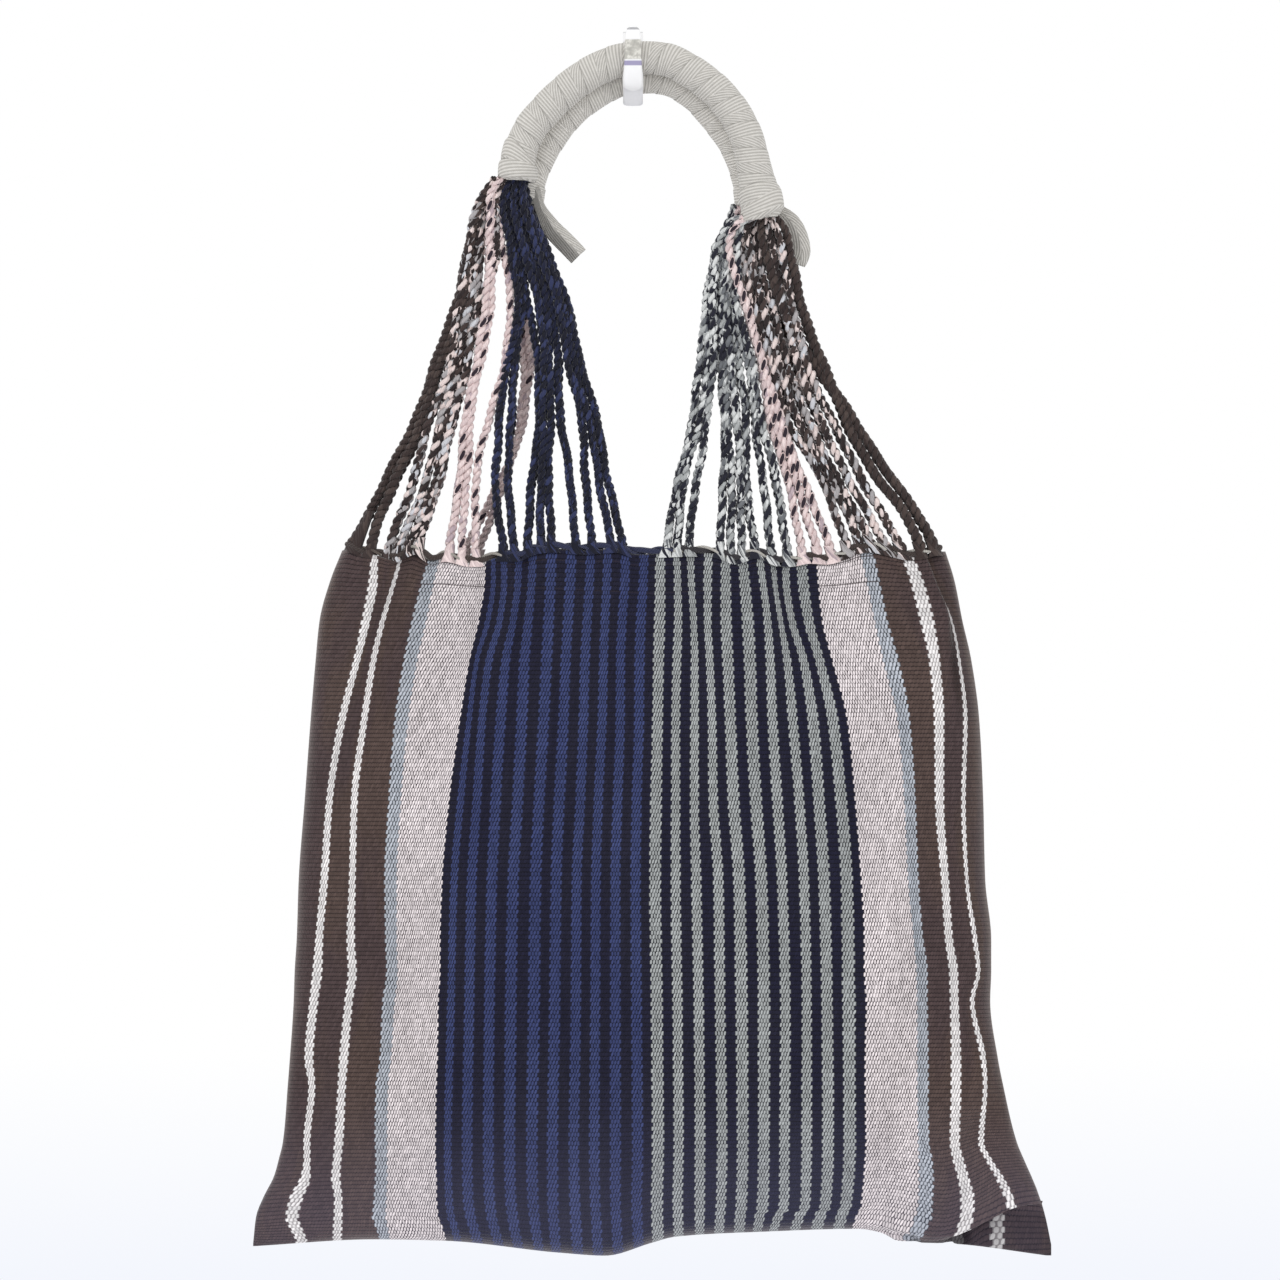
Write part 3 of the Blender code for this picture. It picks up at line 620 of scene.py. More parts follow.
    # Dark picks that show across the pink and grey-blue stripes near the mouth.
    from_side = p.math("PINGPONG", across, FLAT_WIDTH / 2.0)
    pale = p.minus(beads, p.math("MAXIMUM", lights, blues))
    for start, slant in STRAY_PICKS:
        run = p.math("MULTIPLY_ADD", from_side, slant, start - STRAY_FROM * slant)
        line = p.reach(p.math("ABSOLUTE", p.minus(along, run)), 0.45, 0.2)
        line = p.times(p.times(line, pale), p.math("GREATER_THAN", from_side, STRAY_FROM))
        colour = p.mix(p.times(line, 0.75), colour, STRAY)
    p.base(colour)
    p.bump(dome, 0.0005, 0.8)
    return p.material


# ------------------------------------------------------------------ the woven bag
LEFT_COLUMNS, MIDDLE_COLUMNS, RIGHT_COLUMNS = 40, 88, 44  # of the cloth's mesh
DENSE_LEFT, DENSE_RIGHT = 67.3, 330.0  # the columns stand closer outside these places
CROWD_LEFT, CROWD_RIGHT = 1.25, 1.15
SEAM_THICKNESS = 0.02     # share of the thickness left at the side seams round the fold


def bag_columns():
    """Places across the flat cloth for the mesh's columns, close together at the sides."""
    left = np.linspace(0.0, 1.0, LEFT_COLUMNS) ** CROWD_LEFT * DENSE_LEFT
    middle = np.linspace(DENSE_LEFT, DENSE_RIGHT, MIDDLE_COLUMNS)
    from_right = (1.0 - np.linspace(0.0, 1.0, RIGHT_COLUMNS)) ** CROWD_RIGHT
    right = DENSE_RIGHT + (FLAT_WIDTH - DENSE_RIGHT) * (1.0 - from_right)
    return np.concatenate([left, middle[1:], right[1:]])


def face_y(x, across, z, low, high, front):
    """Depth of the cloth at places on one face; low and high are the side edges there."""
    up = z - BOTTOM_Z
    join_y, near, far, power = level_values(DEPTHS, np.maximum(up, 0.0)).T
    out = bulge(x, low, high, power)
    if not front:
        return join_y + far * out
    y = join_y - near * out
    y += crease_depth(x, z) * np.minimum(1.0, 2.0 * out) * np.minimum(1.0, up / FOLD_RISE)
    tucked = smooth((across - TUCK_ACROSS) / TUCK_EDGE)
    tucked = tucked * (1.0 - 0.6 * smooth((across - OUTER_ACROSS) / TUCK_SOFT))
    return y + TUCK_DEPTH * tucked * (1.0 - smooth((z - TUCK_FROM) / (TUCK_TO - TUCK_FROM)))


def bag_rows():
    """The cloth's mesh: down the front, round the fold and up the back.  It gives the places
    across the flat cloth, the places along it, and the points."""
    across = bag_columns()
    low_x = stripe_x(across, RUN_LEVELS[0])
    rise = profile(BOTTOM_EDGE, low_x)
    lift = profile(FRONT_LIFT, stripe_x(across, BOTTOM_Z + FOLD_RISE))
    lifted = smooth(lift / FULL_LIFT)
    scallop = mouth_rise(stripe_x(across, MOUTH_Z))
    back_keys = curve_at(RUN_LEVELS, RUNS, [BACK_LEVEL])[0]
    back_keys = (back_keys - back_keys[0]) / (back_keys[-1] - back_keys[0])
    back_share = curve_at(FLAT_PLACES, back_keys, across, ends=0.0)
    heights = np.linspace(MOUTH_Z - BOTTOM_Z, FOLD_RISE, int(FOLD_ALONG / ROW_STEP))
    rows, alongs = [], []
    for up in heights:
        fade = max(0.0, 1.0 - up / FADE)
        z = BOTTOM_Z + up + lift * fade
        if fade > 0.0:
            x, low, high = stripes_along(across, z + rise * fade)
        else:
            x = stripe_x(across, BOTTOM_Z + up)
            low, high = x[0], x[-1]
        y = face_y(x, across, z, low, high, True)
        z = z + rise * fade + scallop * math.exp(-(heights[0] - up) / SCALLOP_FADE)
        rows.append(np.stack([x, y, z], 1))
        alongs.append(np.full_like(x, heights[0] - up))
    front_x, front_y, front_z = rows[-1].T
    join_y = level_values(DEPTHS, [FOLD_RISE])[0][0]
    stand = join_y - front_y
    edge_z = BOTTOM_Z + rise + lift
    edge_x = stripes_along(across, edge_z)[0]
    back_z = BOTTOM_Z + FOLD_RISE + rise * (1.0 - FOLD_RISE / FADE)
    for turn in np.linspace(0.0, math.pi, FOLD_STEPS + 2)[1:-1]:
        front = turn < math.pi / 2.0
        up = FOLD_RISE * (1.0 - math.sin(turn))
        x = stripe_x(across, BOTTOM_Z + up)
        low, high = x[0], x[-1]
        if not front:
            blend = smooth((turn - math.pi / 2.0) / (math.pi / 2.0))
            x = x * (1.0 - blend) + blend * (low + (high - low) * back_share)
        y = face_y(x, across, np.full_like(x, BOTTOM_Z + FOLD_RISE), low, high, front)
        y = join_y + (y - join_y) * abs(math.cos(turn))
        z = BOTTOM_Z + up + rise * (1.0 - up / FADE)
        way = Turn(turn / math.pi, *level_values(TURNED, [turn / math.pi])[0])
        turned_z = front_z + (edge_z - front_z) * way.edge
        turned_z = turned_z + (BOTTOM_Z + rise - turned_z) * way.bottom
        turned_z = turned_z + (back_z - turned_z) * way.back
        outline = curve_at(RUN_LEVELS, RUNS[:, -1], turned_z)
        inset = (outline - low_x[-1]) * smooth((across - OUTER_ACROSS) / CORNER_SOFT)
        turned_x = front_x + (edge_x - front_x) * way.edge
        turned_x = turned_x + (low_x + inset - turned_x) * way.over
        turned_x = turned_x + (x - turned_x) * way.back
        x = x + (turned_x - x) * lifted
        y = y + (join_y - stand * way.forward - y) * lifted
        z = z + (turned_z - z) * lifted
        rows.append(np.stack([x, y, z], 1))
    for up in heights[::-1]:
        low, high = side_edges(BOTTOM_Z + up)
        fade = max(0.0, 1.0 - up / FADE)
        x = low + (high - low) * back_share
        y = face_y(x, across, np.full_like(x, BOTTOM_Z + up), low, high, False)
        z = BOTTOM_Z + up + rise * fade + scallop * math.exp(-(heights[0] - up) / SCALLOP_FADE)
        rows.append(np.stack([x, y, z], 1))
    rows = np.array(rows)
    first, last = len(heights) - 1, len(heights) + FOLD_STEPS
    way = np.cumsum(np.linalg.norm(np.diff(rows[first:last + 1], axis=0), axis=2), axis=0)
    alongs += list(FOLD_ALONG + FLAT_FOLD * way / way[-1])
    alongs += [np.full_like(across, FOLD_ALONG + FLAT_FOLD + up - FOLD_RISE)
               for up in heights[::-1][1:]]
    return across, np.array(alongs), rows


def make_bag():
    across, along, rows = bag_rows()
    soup = Soup()
    soup.grid(rows, spread(across, along))
    bag = soup.build("woven_bag")
    solid = thicken(bag, CLOTH_THICKNESS, 1.0)
    full = bag.vertex_groups.new(name="full_thickness")
    number = np.arange(rows.shape[0] * rows.shape[1]).reshape(rows.shape[:2])
    first = (len(rows) - FOLD_STEPS) // 2 - SEAM_ROWS
    seam = number[first:first + FOLD_STEPS + 2 * SEAM_ROWS]
    thin = np.concatenate([seam[:, :SEAM_COLUMNS], seam[:, -SEAM_COLUMNS:]], axis=1)
    full.add(np.setdiff1d(number, thin).tolist(), 1.0, "REPLACE")
    solid.vertex_group = full.name
    solid.thickness_vertex_group = SEAM_THICKNESS
    hand_over(bag, cloth_material(), "bag_cloth")


# ------------------------------------------------------------------ twisted cords
CORD_PITCH = 8.5          # length of one whole twist of the two strands
CORD_TURNS = 40           # more twists than any cord has, to tell the strands apart
STRAND_RADIUS = 1.25
STRAND_OFFSET = 1.06      # from the middle of the cord to the middle of a strand
CORD_STEP = 0.95          # along the cord, between rings of points
STRAND_SIDES = 6
ROOT_STEPS, ROOT_SIDES = 9, 20
ROOT_RADIUS = 1.9         # of the gathered warp ends where they become the cord
ROOT_REACH = 4.2          # how far to each side they are gathered from, at most
CORNERS = (-146.0, 157.0)  # the outermost cords take in the cloth's corners
OUTER_ROOT_HEIGHT = 21.0
ROOT_DEPTH, ROOT_HEIGHT, ROOT_AHEAD = 2.2, 9.0, 1.3
ROOT_HUMPS = 5.0          # yarns seen round a cone of gathered ends
LAYER = 1.75              # between the layers of cords where they are gathered
CORD_FOOT = -245.5        # where the cords stand on the cloth's edge
CORD_TOP = 2.0            # how far the cords reach above the place where they are gathered
SHOULDER = 0.62           # how much closer together they are there than just below
SQUEEZE, SQUEEZED = 0.88, 0.2  # thickness there, and the share of the cord that is thinner
ROUTE_GAP = 3.0           # a level of the route this close below the gather isn't used
# Waves along a cord: how many radians sideways and in depth, slow and fast, and the fast
# ones' height.
SLOW_WAVES, FAST_WAVES, FAST_WAVE = (21.0, 17.0), (47.0, 41.0), 0.3

Gather = namedtuple("Gather", "face side x y z")
GATHERS = (
    Gather("front", "left", -57, -33, -61.6), Gather("front", "right", 65, -33, -81),
    Gather("back", "left", -55.5, -12.2, -72.6), Gather("back", "right", 60.5, -12.2, -74.8),
)

# The cords' routes from the outside of each fan to its inside: where each one leaves the mouth,
# then its place across at each of the levels, the lowest only where it matters. They were read off
# enlarged views of the photo, then converted and rounded.
CORD_LEVELS = {
    "left": (-70.5, -95.5, -120.5, -151, -181, -211, -231),
    "right": (-86, -95.5, -120.5, -151, -181, -211, -231),
}
FANS = {
    "left": (
        ("brown", (
            (-141.5, -75.5, -82.5, -88, -98.5, -109, -124, -134),
            (-132.5, -75, -82, -85.5, -96, -106, -119.5, -127.5),
        )),
        ("mixed", (
            (-124, -77, -83, -87, -91.8, -102, -110.5),
            (-119.8, -76, -78, -82, -89, -96.5, -103.5),
            (-113.6, -74, -77, -78.5, -86, -93.5, -99),
            (-108.5, -68.5, -68.5, -76.5, -83, -90.5, -97.5),
        )),
        ("pink", (
            (-92.5, -72, -72, -73.5, -78.5, -84, -87),
            (-86.2, -71, -70, -71, -76.5, -81.5, -83.5),
            (-78.9, -67.5, -65.5, -61, -64.5, -72, -79),
        )),
        ("navy", (
            (-65, -65.5, -61.5, -57.5, -62.5, -67, -69),
            (-59.5, -63.5, -60, -55.5, -59, -61.5, -62.5),
            (-53, -61.5, -57.5, -53, -48, -47, -51),
            (-46.5, -60, -55, -47.5, -45, -45, -46),
            (-41, -58.5, -52.5, -44, -42, -41.5, -42.5),
            (-28.6, -57, -49.5, -41.5, -38, -36.5, -31.5),
            (-20.6, -55.5, -47.5, -38.5, -32.5, -25.5, -23.5),
            (-10.6, -54, -45, -36, -30, -22, -17),
            (-5, -53, -43, -34, -26.5, -18.5, -12.5),
        )),
    ),
    "right": (
        ("brown", (
            (151.5, 64, 66.5, 73.5, 90, 111, 130, 144.6),
            (145, 76.5, 79, 83.5, 95, 107, 123.5, 138.4),
        )),
        ("mixed", (
            (136, 72.3, 74.7, 79.5, 87, 100, 115.5),
            (127.5, 68, 70.2, 75, 82.5, 94, 108.5),
            (120.1, 61.5, 62.8, 68.8, 77, 88, 103),
            (114.5, 57.7, 58.5, 64.5, 73, 83, 99.5),
            (108, 54, 54.3, 60.5, 69, 77.5, 95),
        )),
        ("pink", (
            (100.5, 50, 48.5, 56, 65, 74, 85.5),
            (93.3, 49.5, 48, 56, 64.5, 71.5, 82),
            (85.4, 49, 47.5, 55.5, 64, 69, 77.5),
        )),
        ("grey", (
            (77.9, 53, 52.5, 52.5, 59.5, 64.5, 72),
            (69.8, 51.5, 51, 51, 57.5, 61.5, 65),
            (61.3, 49.5, 48.5, 48.5, 53, 56.5, 57),
            (54.5, 48.5, 46.5, 46.5, 49, 52, 54),
            (49, 47.5, 44.5, 44.5, 46, 47.5, 49.5),
            (43.5, 47, 43, 43, 44, 46, 45.5),
            (27.6, 46, 41.5, 40.5, 40, 37, 32),
            (22, 46, 42.5, 39, 37.5, 34, 25.5),
            (16.5, 46, 42, 37.5, 33.5, 30, 23),
        )),
    ),
}
# Two pink cords of the back fan wander behind the navy ones.
STRAYS = {
    ("back", "left", "pink", 1): (-86.2, -71, -61, -54, -52, -55, -67),
    ("back", "left", "pink", 2): (-78.9, -67.5, -58, -57, -55, -56.5, -65),
}
BACK_SHIFT = 0.5          # how far the back's cords stray from the front's
BACK_FILL = {("right", "mixed"): -2.1}  # how far some lie beside them near the handle
FILL_SHARE = (1.0, 1.0, 1.0, 0.6, 0.2, 0.0, 0.0)
THICKER = {"brown": 1.24, "mixed": 1.04}

# Yarns of each colour of cord: the share of the humps at which each colour begins.
YARNS = {
    "brown": ((0.0, srgb(56, 45, 43)), (0.6, srgb(74, 62, 58))),
    "mixed": ((0.0, srgb(44, 35, 35)), (0.34, srgb(66, 54, 52)), (0.51, srgb(230, 214, 210)),
              (0.76, srgb(172, 168, 169)), (0.9, srgb(206, 207, 212))),
    "pink": ((0.0, srgb(238, 219, 217)), (0.45, srgb(220, 200, 199)), (0.92, srgb(186, 168, 174))),
    "navy": ((0.0, srgb(15, 17, 34)), (0.4, srgb(23, 27, 52)), (0.78, srgb(47, 54, 90))),
    "grey": ((0.0, srgb(30, 31, 44)), (0.4, srgb(112, 115, 119)), (0.55, srgb(172, 175, 175)),
             (0.78, srgb(218, 220, 219))),
}
FLECKED = 0.36            # share of each hump that is flecked with other yarns
DARK_YARN = srgb(44, 34, 44)  # shows on some humps of one strand of the pink cords:
DARK_SHARE, DARK_MORE = 0.45, 0.22  # this share of them, and so much more at the right
STRAND_MARK = 2.0         # added to the second UV value of a cord's second strand
FIBRE_PITCH = 11.0        # length in which the fibres go once round their strand
FLECK_LENGTH = 2.8        # usual length of a fleck of another yarn


def mouth_y(face, x):
    """Depth of the middle of the cloth at the mouth."""
    join_y, near, far, power = level_values(DEPTHS, [MOUTH_Z - BOTTOM_Z])[0]
    out = bulge(x, *side_edges(MOUTH_Z), power, inset=1.0)
    return join_y - (near - 1.0) * out if face == "front" else join_y + (far - 1.0) * out


def mouth_rise(x):
    """How far the cloth's edge stands above its level."""
    return profile(MOUTH_EDGE, x)


def cord_material(name, yarns):
    """Each hump of a strand shows mostly one yarn, flecked with the others."""
    p = Paint("cord_yarn_" + name, Roughness=0.8, Sheen_Weight=0.15, Specular_IOR_Level=0.25)
    along, turn = p.uv()
    angle = p.times(p.math("MULTIPLY_ADD", along, 1.0 / FIBRE_PITCH, turn), TAU)
    spot = p.vector(p.ratio(along, FLECK_LENGTH), p.times(p.math("COSINE", angle), 0.6),
                    p.times(p.math("SINE", angle), 0.6))
    cells = p.node("TexVoronoi", {"Vector": spot, "Scale": 1.0, "Randomness": 0.9})
    fleck = p.parts(cells.outputs["Color"])
    wander = p.noise(spot, 0.8, 1.0)
    half_turns = p.ratio(along, CORD_PITCH / 2.0)
    hump = p.math("FLOOR", p.plus(half_turns, p.math("MULTIPLY_ADD", wander, 0.8, -0.4)))
    pick = p.chance(hump)
    flecked = p.math("LESS_THAN", fleck[1], FLECKED)
    colour = p.ramp(p.math("MULTIPLY_ADD", p.minus(fleck[0], pick), flecked, pick), yarns)
    if name == "pink":
        # An oval of dark yarn on some humps of one strand, on more of them at the right.
        place = p.minus(p.math("FRACT", half_turns), 0.5)
        place = p.math("POWER", p.ratio(p.math("ABSOLUTE", place), 0.44), 2.0)
        facing = p.math("COSINE", p.times(turn, TAU))
        facing = p.math("POWER", p.ratio(p.math("ABSOLUTE", facing), 0.9), 2.0)
        dark = p.math("LESS_THAN", p.plus(place, facing), 1.0)
        dark = p.times(dark, p.math("GREATER_THAN", turn, STRAND_MARK - 0.5))
        at_right = p.math("GREATER_THAN", p.parts(p.spot())[0], 0.0)
        share = p.math("MULTIPLY_ADD", at_right, DARK_MORE, DARK_SHARE)
        own = p.chance(p.math("FLOOR", half_turns))
        dark = p.times(dark, p.math("LESS_THAN", own, share))
        colour = p.mix(dark, colour, DARK_YARN)
    p.base(p.dim(colour, p.math("MULTIPLY_ADD", p.noise(spot, 2.4, 2.0), 0.5, 0.75)))
    ribs = p.math("SINE", p.times(angle, 5.0))
    p.bump(p.math("MULTIPLY_ADD", cells.outputs["Distance"], -1.0, p.times(ribs, 0.3)),
           0.0004, 0.9)
    return p.material


def across_frames(path):
    """Two directions across a path that mostly runs up."""
    tangent = unit(np.gradient(path, axis=0))
    side = unit(np.array([1.0, 0.0, 0.0]) - tangent * tangent[:, :1])
    return side, np.cross(tangent, side)


def add_tube(soup, path, frames, radius, length, sides):
    """A tube along a path; radius and length have one value for each point."""
    side, other = (direction[:, None] for direction in frames)
    turn = np.arange(sides + 1) / sides
    angle = (TAU * turn[:-1])[:, None]
    ring = np.cos(angle) * side + np.sin(angle) * other
    points = path[:, None] + radius[:, None, None] * ring
    soup.grid(points, spread(length[:, None], turn), wrap=True)
    return points


def add_cord(soup, gather, places, depth, number, chance, sway, thicker):
    """One cord of two strands laid up together, from the handle down to the mouth."""
    top = gather.z + CORD_TOP
    levels = [(z, x) for z, x in zip(CORD_LEVELS[gather.side], places[1:])
              if z < gather.z - ROUTE_GAP]
    top_x = gather.x + SHOULDER * (levels[0][1] - gather.x)
    foot = CORD_FOOT + mouth_rise([places[0]])[0]
    heights, xs = np.array([(top, top_x)] + levels + [(foot, places[0])])[::-1].T
    length = math.dist((top_x, top), (places[0], foot))
    share = np.linspace(0.0, 1.0, int(length / CORD_STEP))
    z = top + (foot - top) * share
    x = curve_at(heights, xs, z)
    start_y = gather.y + depth
    y = start_y + (mouth_y(gather.face, places[0]) - start_y) * share
    middle = np.sin(math.pi * share) ** 0.7
    path = np.stack([x, y, z], 1)
    for k, (slow, fast) in enumerate(zip(SLOW_WAVES, FAST_WAVES)):
        path[:, k] = (path[:, k] + middle * sway[4 + k] * np.sin(share * slow + sway[2 * k])
                      + FAST_WAVE * np.sin(share * fast + sway[2 * k + 1]))
    along = path_places(path)
    thick = SQUEEZE + (thicker - SQUEEZE) * smooth(share / SQUEEZED)
    side, other = across_frames(path)
    phase = chance.uniform(0.0, TAU)
    pitch = CORD_PITCH * chance.uniform(0.92, 1.08)
    for strand in (0, 1):
        turns = along / pitch + phase / TAU + strand / 2.0
        angle = (TAU * turns)[:, None]
        centre = np.cos(angle) * side + np.sin(angle) * other
        centre = path + STRAND_OFFSET * thick[:, None] * centre
        length = CORD_PITCH * turns + CORD_PITCH * CORD_TURNS * (2 * number + strand)
        add_tube(soup, centre, across_frames(centre), STRAND_RADIUS * thick, length, STRAND_SIDES)
        soup.uvs[-1][:, 1] += STRAND_MARK * strand


def add_root(soup, gather, places, left_x, right_x, number):
    """The warp ends of one cord gather from the cloth's edge into a ridged cone."""
    mouth_x = places[0]
    outer = min(abs(left_x - CORNERS[0]), abs(right_x - CORNERS[1])) < 1.0
    height = OUTER_ROOT_HEIGHT if outer else ROOT_HEIGHT
    level = CORD_LEVELS[gather.side][len(places) - 2]
    lean = (places[-1] - mouth_x) / (level - CORD_FOOT)
    share = np.linspace(0.0, 1.0, ROOT_STEPS)[:, None]
    turn = np.arange(ROOT_SIDES + 1) / ROOT_SIDES
    angle = TAU * turn[None, :-1]
    draw = (1.0 - share) ** (1.2 if outer else 1.7)
    ridge = 1.0 + 0.1 * np.cos(ROOT_HUMPS * angle) * (0.3 + draw)
    wide = np.where(np.cos(angle) > 0.0, right_x - mouth_x, mouth_x - left_x)
    axis = mouth_x + lean * np.maximum(share * height - ROOT_DEPTH, 0.0)
    x = axis + np.cos(angle) * ridge * (ROOT_RADIUS * (1.0 - draw) + wide * draw)
    ahead = -ROOT_AHEAD if gather.face == "front" else ROOT_AHEAD
    thick = ROOT_RADIUS * (1.0 - draw) + 0.9 * draw
    y = mouth_y(gather.face, x) + ahead * draw + np.sin(angle) * ridge * thick
    local = mouth_rise(x.ravel()).reshape(x.shape)
    z = MOUTH_Z - ROOT_DEPTH + share * height + local + (mouth_rise([mouth_x])[0] - local) * share
    round_ridges = ROOT_HUMPS / 2.0 * CORD_PITCH * turn[None]
    start = CORD_PITCH * CORD_TURNS * (2 * number + 1.5)
    uv = spread(share * height + round_ridges + start, turn[None])
    soup.grid(np.stack([x, y, z], 2), uv, wrap=True)


def make_cords():
    """All the cords, one piece for each colour at each corner."""
    chance = np.random.default_rng(12)
    paints = {name: cord_material(name, yarns) for name, yarns in YARNS.items()}
    number = 0
    sways = {}
    for gather in GATHERS:
        every = [places[0] for _, combs in FANS[gather.side] for places in combs]
        for name, comb in FANS[gather.side]:
            soup = Soup()
            for place, places in enumerate(comb):
                stray = STRAYS.get((gather.face, gather.side, name, place))
                if gather.face == "back":
                    shift = chance.uniform(-BACK_SHIFT, BACK_SHIFT, len(places) - 1)
                    shift += (BACK_FILL.get((gather.side, name), 0.0)
                              * np.array(FILL_SHARE[:len(places) - 1]))
                    places = stray or (places[0], *(np.array(places[1:]) + shift))
                depth = LAYER * ((place % 3) - 1.0) - (LAYER if name == "pink" else 0.0)
                key = (gather.side, name, place)
                if key not in sways:
                    sways[key] = [*chance.uniform(0.0, TAU, 4), *chance.uniform(0.15, 0.5, 2)]
                add_cord(soup, gather, places, depth, number, chance, sways[key],
                         THICKER.get(name, 1.0))
                mouth_x = places[0]
                between = [(mouth_x + other) / 2.0 for other in every if other != mouth_x]
                lefts = [x for x in between if x < mouth_x] + [mouth_x - ROOT_REACH, CORNERS[0]]
                rights = [x for x in between if x > mouth_x] + [mouth_x + ROOT_REACH, CORNERS[1]]
                add_root(soup, gather, places, max(lefts), min(rights), number)
                number += 1
            node = "cords_%s_%s_%s" % (gather.face, gather.side, name)
            hand_over(soup.build("twisted_" + node), paints[name], node)


# ------------------------------------------------------------------ twined edge yarn
TWINE_PITCH = 22.0
TWINE_STEP = 0.8
TWINE_SIDES = 8
TWINE_RISE = 1.6          # the yarn's middle above the cloth's edge
TWINE_INSET = 2.5         # from the cloth's corners
# The two strands: where each starts round the yarn, its radius, how far out it lies, and what
# tells it apart in the second UV value.
Strand = namedtuple("Strand", "phase radius out mark")
TWINE_STRANDS = (Strand(0.0, 1.45, 0.9, 0.0), Strand(math.pi, 0.7, 1.6, 10.0))
# Their colours from left to right along the mouth, and the half width those are spread over.
TWINE_SPAN = 0.2
TWINE_DARK = ((0.0, srgb(62, 50, 46)), (0.335, srgb(36, 42, 76)), (0.55, srgb(44, 40, 46)),
              (0.7, srgb(60, 48, 44)))
TWINE_PALE = ((0.0, srgb(96, 84, 76)), (0.18, srgb(178, 172, 164)),
              (0.335, srgb(40, 46, 80)), (0.55, srgb(206, 202, 194)))


def edge_yarn_material():
    p = Paint("edge_yarn_twined", Roughness=0.8, Sheen_Weight=0.15)
    along, turn = p.uv()
    place = p.reach(p.parts(p.spot())[0], -TWINE_SPAN, TWINE_SPAN, kind="LINEAR")
    pale = p.math("GREATER_THAN", turn, TWINE_STRANDS[1].mark / 2.0)
    colour = p.mix(pale, p.ramp(place, TWINE_DARK), p.ramp(place, TWINE_PALE))
    ribs = p.math("SINE", p.times(p.math("MULTIPLY_ADD", along, 0.16, turn), 5.0 * TAU))
    p.base(p.dim(colour, p.math("MULTIPLY_ADD", ribs, 0.12, 0.95)))
    p.bump(ribs, 0.0002)
    return p.material


def make_edge_yarns():
    paint = edge_yarn_material()
    low, high = side_edges(MOUTH_Z)
    up, forward = np.array([0.0, 0.0, 1.0]), np.array([0.0, -1.0, 0.0])
    for face in ("front", "back"):
        x = np.linspace(low + TWINE_INSET, high - TWINE_INSET, int((high - low) / TWINE_STEP))
        path = np.stack([x, mouth_y(face, x), MOUTH_Z + TWINE_RISE + mouth_rise(x)], 1)
        along = path_places(path)
        soup = Soup()
        for strand in TWINE_STRANDS:
            angle = (TAU * along / TWINE_PITCH + strand.phase)[:, None]
            centre = path + strand.out * (0.8 * np.cos(angle) * up + np.sin(angle) * forward)
            tangent = unit(np.gradient(centre, axis=0))
            side = unit(up - tangent * (tangent @ up)[:, None])
            points = add_tube(soup, centre, (side, np.cross(tangent, side)),
                              np.full(len(x), strand.radius), along, TWINE_SIDES)
            soup.uvs[-1][:, 1] += strand.mark
            for ring in (points[0], points[-1]):
                soup.cap(ring, (0.0, strand.mark))
        hand_over(soup.build("twined_edge_" + face), paint, "edge_cord_" + face)


# ------------------------------------------------------------------ handles
# Stops along the handles' middle lines: x, y, z and the radius there.
FRONT_HANDLE = (
    (-58, -33, -60.8, 8.8), (-57.6, -32.8, -53, 8.5), (-55.8, -32.2, -44.2, 8.4),
    (-51.5, -31, -34.5, 8.5), (-44.5, -30, -25.9, 8.5), (-33.7, -29, -15.3, 8.5),
    (-21.1, -28.3, -6.3, 8.5), (-6.5, -27.9, -0.2, 8.5), (6, -27.9, 1, 8.5),
    (16.6, -28, 0.2, 8.5), (29.9, -28.7, -6.3, 8.5), (43.2, -29.7, -17, 8.5),
    (52.3, -30.7, -28.9, 8.5), (57.3, -31.4, -39.7, 8.5), (60.6, -32, -53, 8.7),
    (63.1, -32.6, -65, 9.7), (64.8, -33, -73.4, 9.7), (65.4, -33, -79.6, 9.4),
)
BACK_HANDLE = (
    (-55.5, -12.2, -71.5, 9.5), (-54.6, -12.2, -64, 9.9), (-50.3, -12.3, -53.8, 8.8),
    (-42.7, -12.4, -39.7, 8.5), (-31.2, -12.4, -25, 8.5), (-16.6, -12.6, -14.3, 8.5),
    (-6.5, -12.9, -9.4, 8.5), (6.5, -12.9, -8, 8.5), (17, -12.7, -8.9, 8.5),
    (30.7, -12.4, -16.3, 8.5), (42.2, -12.4, -28.6, 8.5), (51.8, -12.3, -42.2, 8.5),
    (58.8, -12.2, -60.3, 8.9), (60.8, -12.2, -73.6, 8.5),
)
TAPE_LEAD = 13.5          # length of handle covered by one turn of the tape
TAPE_WIDTH = 15.5
TAPE_LIFT = 0.7           # how far each turn's edge stands above the turn it lies on
TAPE_TURN_SIDES = 40
# One turn's section: places across the tape, and the tape's height there.  The first place
# is the edge, which goes down to the turn below.
TAPE_ACROSS = (0.0, 0.0, 0.35, 1.2, 3.0, 5.0, 7.0, 9.0, 11.0, 13.0, 14.3, TAPE_WIDTH)
TAPE_RISE = (-0.9, -0.15, 0.0, 0.02, 0.0, -0.05, -0.1, -0.18, -0.28, -0.4, -0.6, -0.8)
GRIP_RADIUS, BAND_RADIUS, CORE_RADIUS = 8.5, 9.0, 8.0  # for the UV places round the handle
CORE_STEPS, CORE_SIDES = 90, 32
# The core under the tape: how far from the handle's ends it stops, how far it lies below the
# tape, and the radius its ends close to.
CORE_INSET, CORE_BELOW, CORE_END = 0.8, 1.9, 0.2
BAND_STEPS, BAND_SIDES = 15, 48
TUCKED, TUCKED_OVER = 2.0, 2.5  # the tape is drawn in this far, over this length, at the ends
BAND_SEAM = 0.75          # how far a binding turn's UV places start below nought, as if that much of its edge were tucked out of sight; that edge takes the painted seam shade
RIB_PITCH = 1.55
RIB_SPLIT = 0.62          # share of the shown tape where its ribs change direction
RIB_LEAN = (0.14, -0.4)   # slope of the ribs on the two parts of the tape
STITCH = 0.9              # length of a stitch in the tape's weave
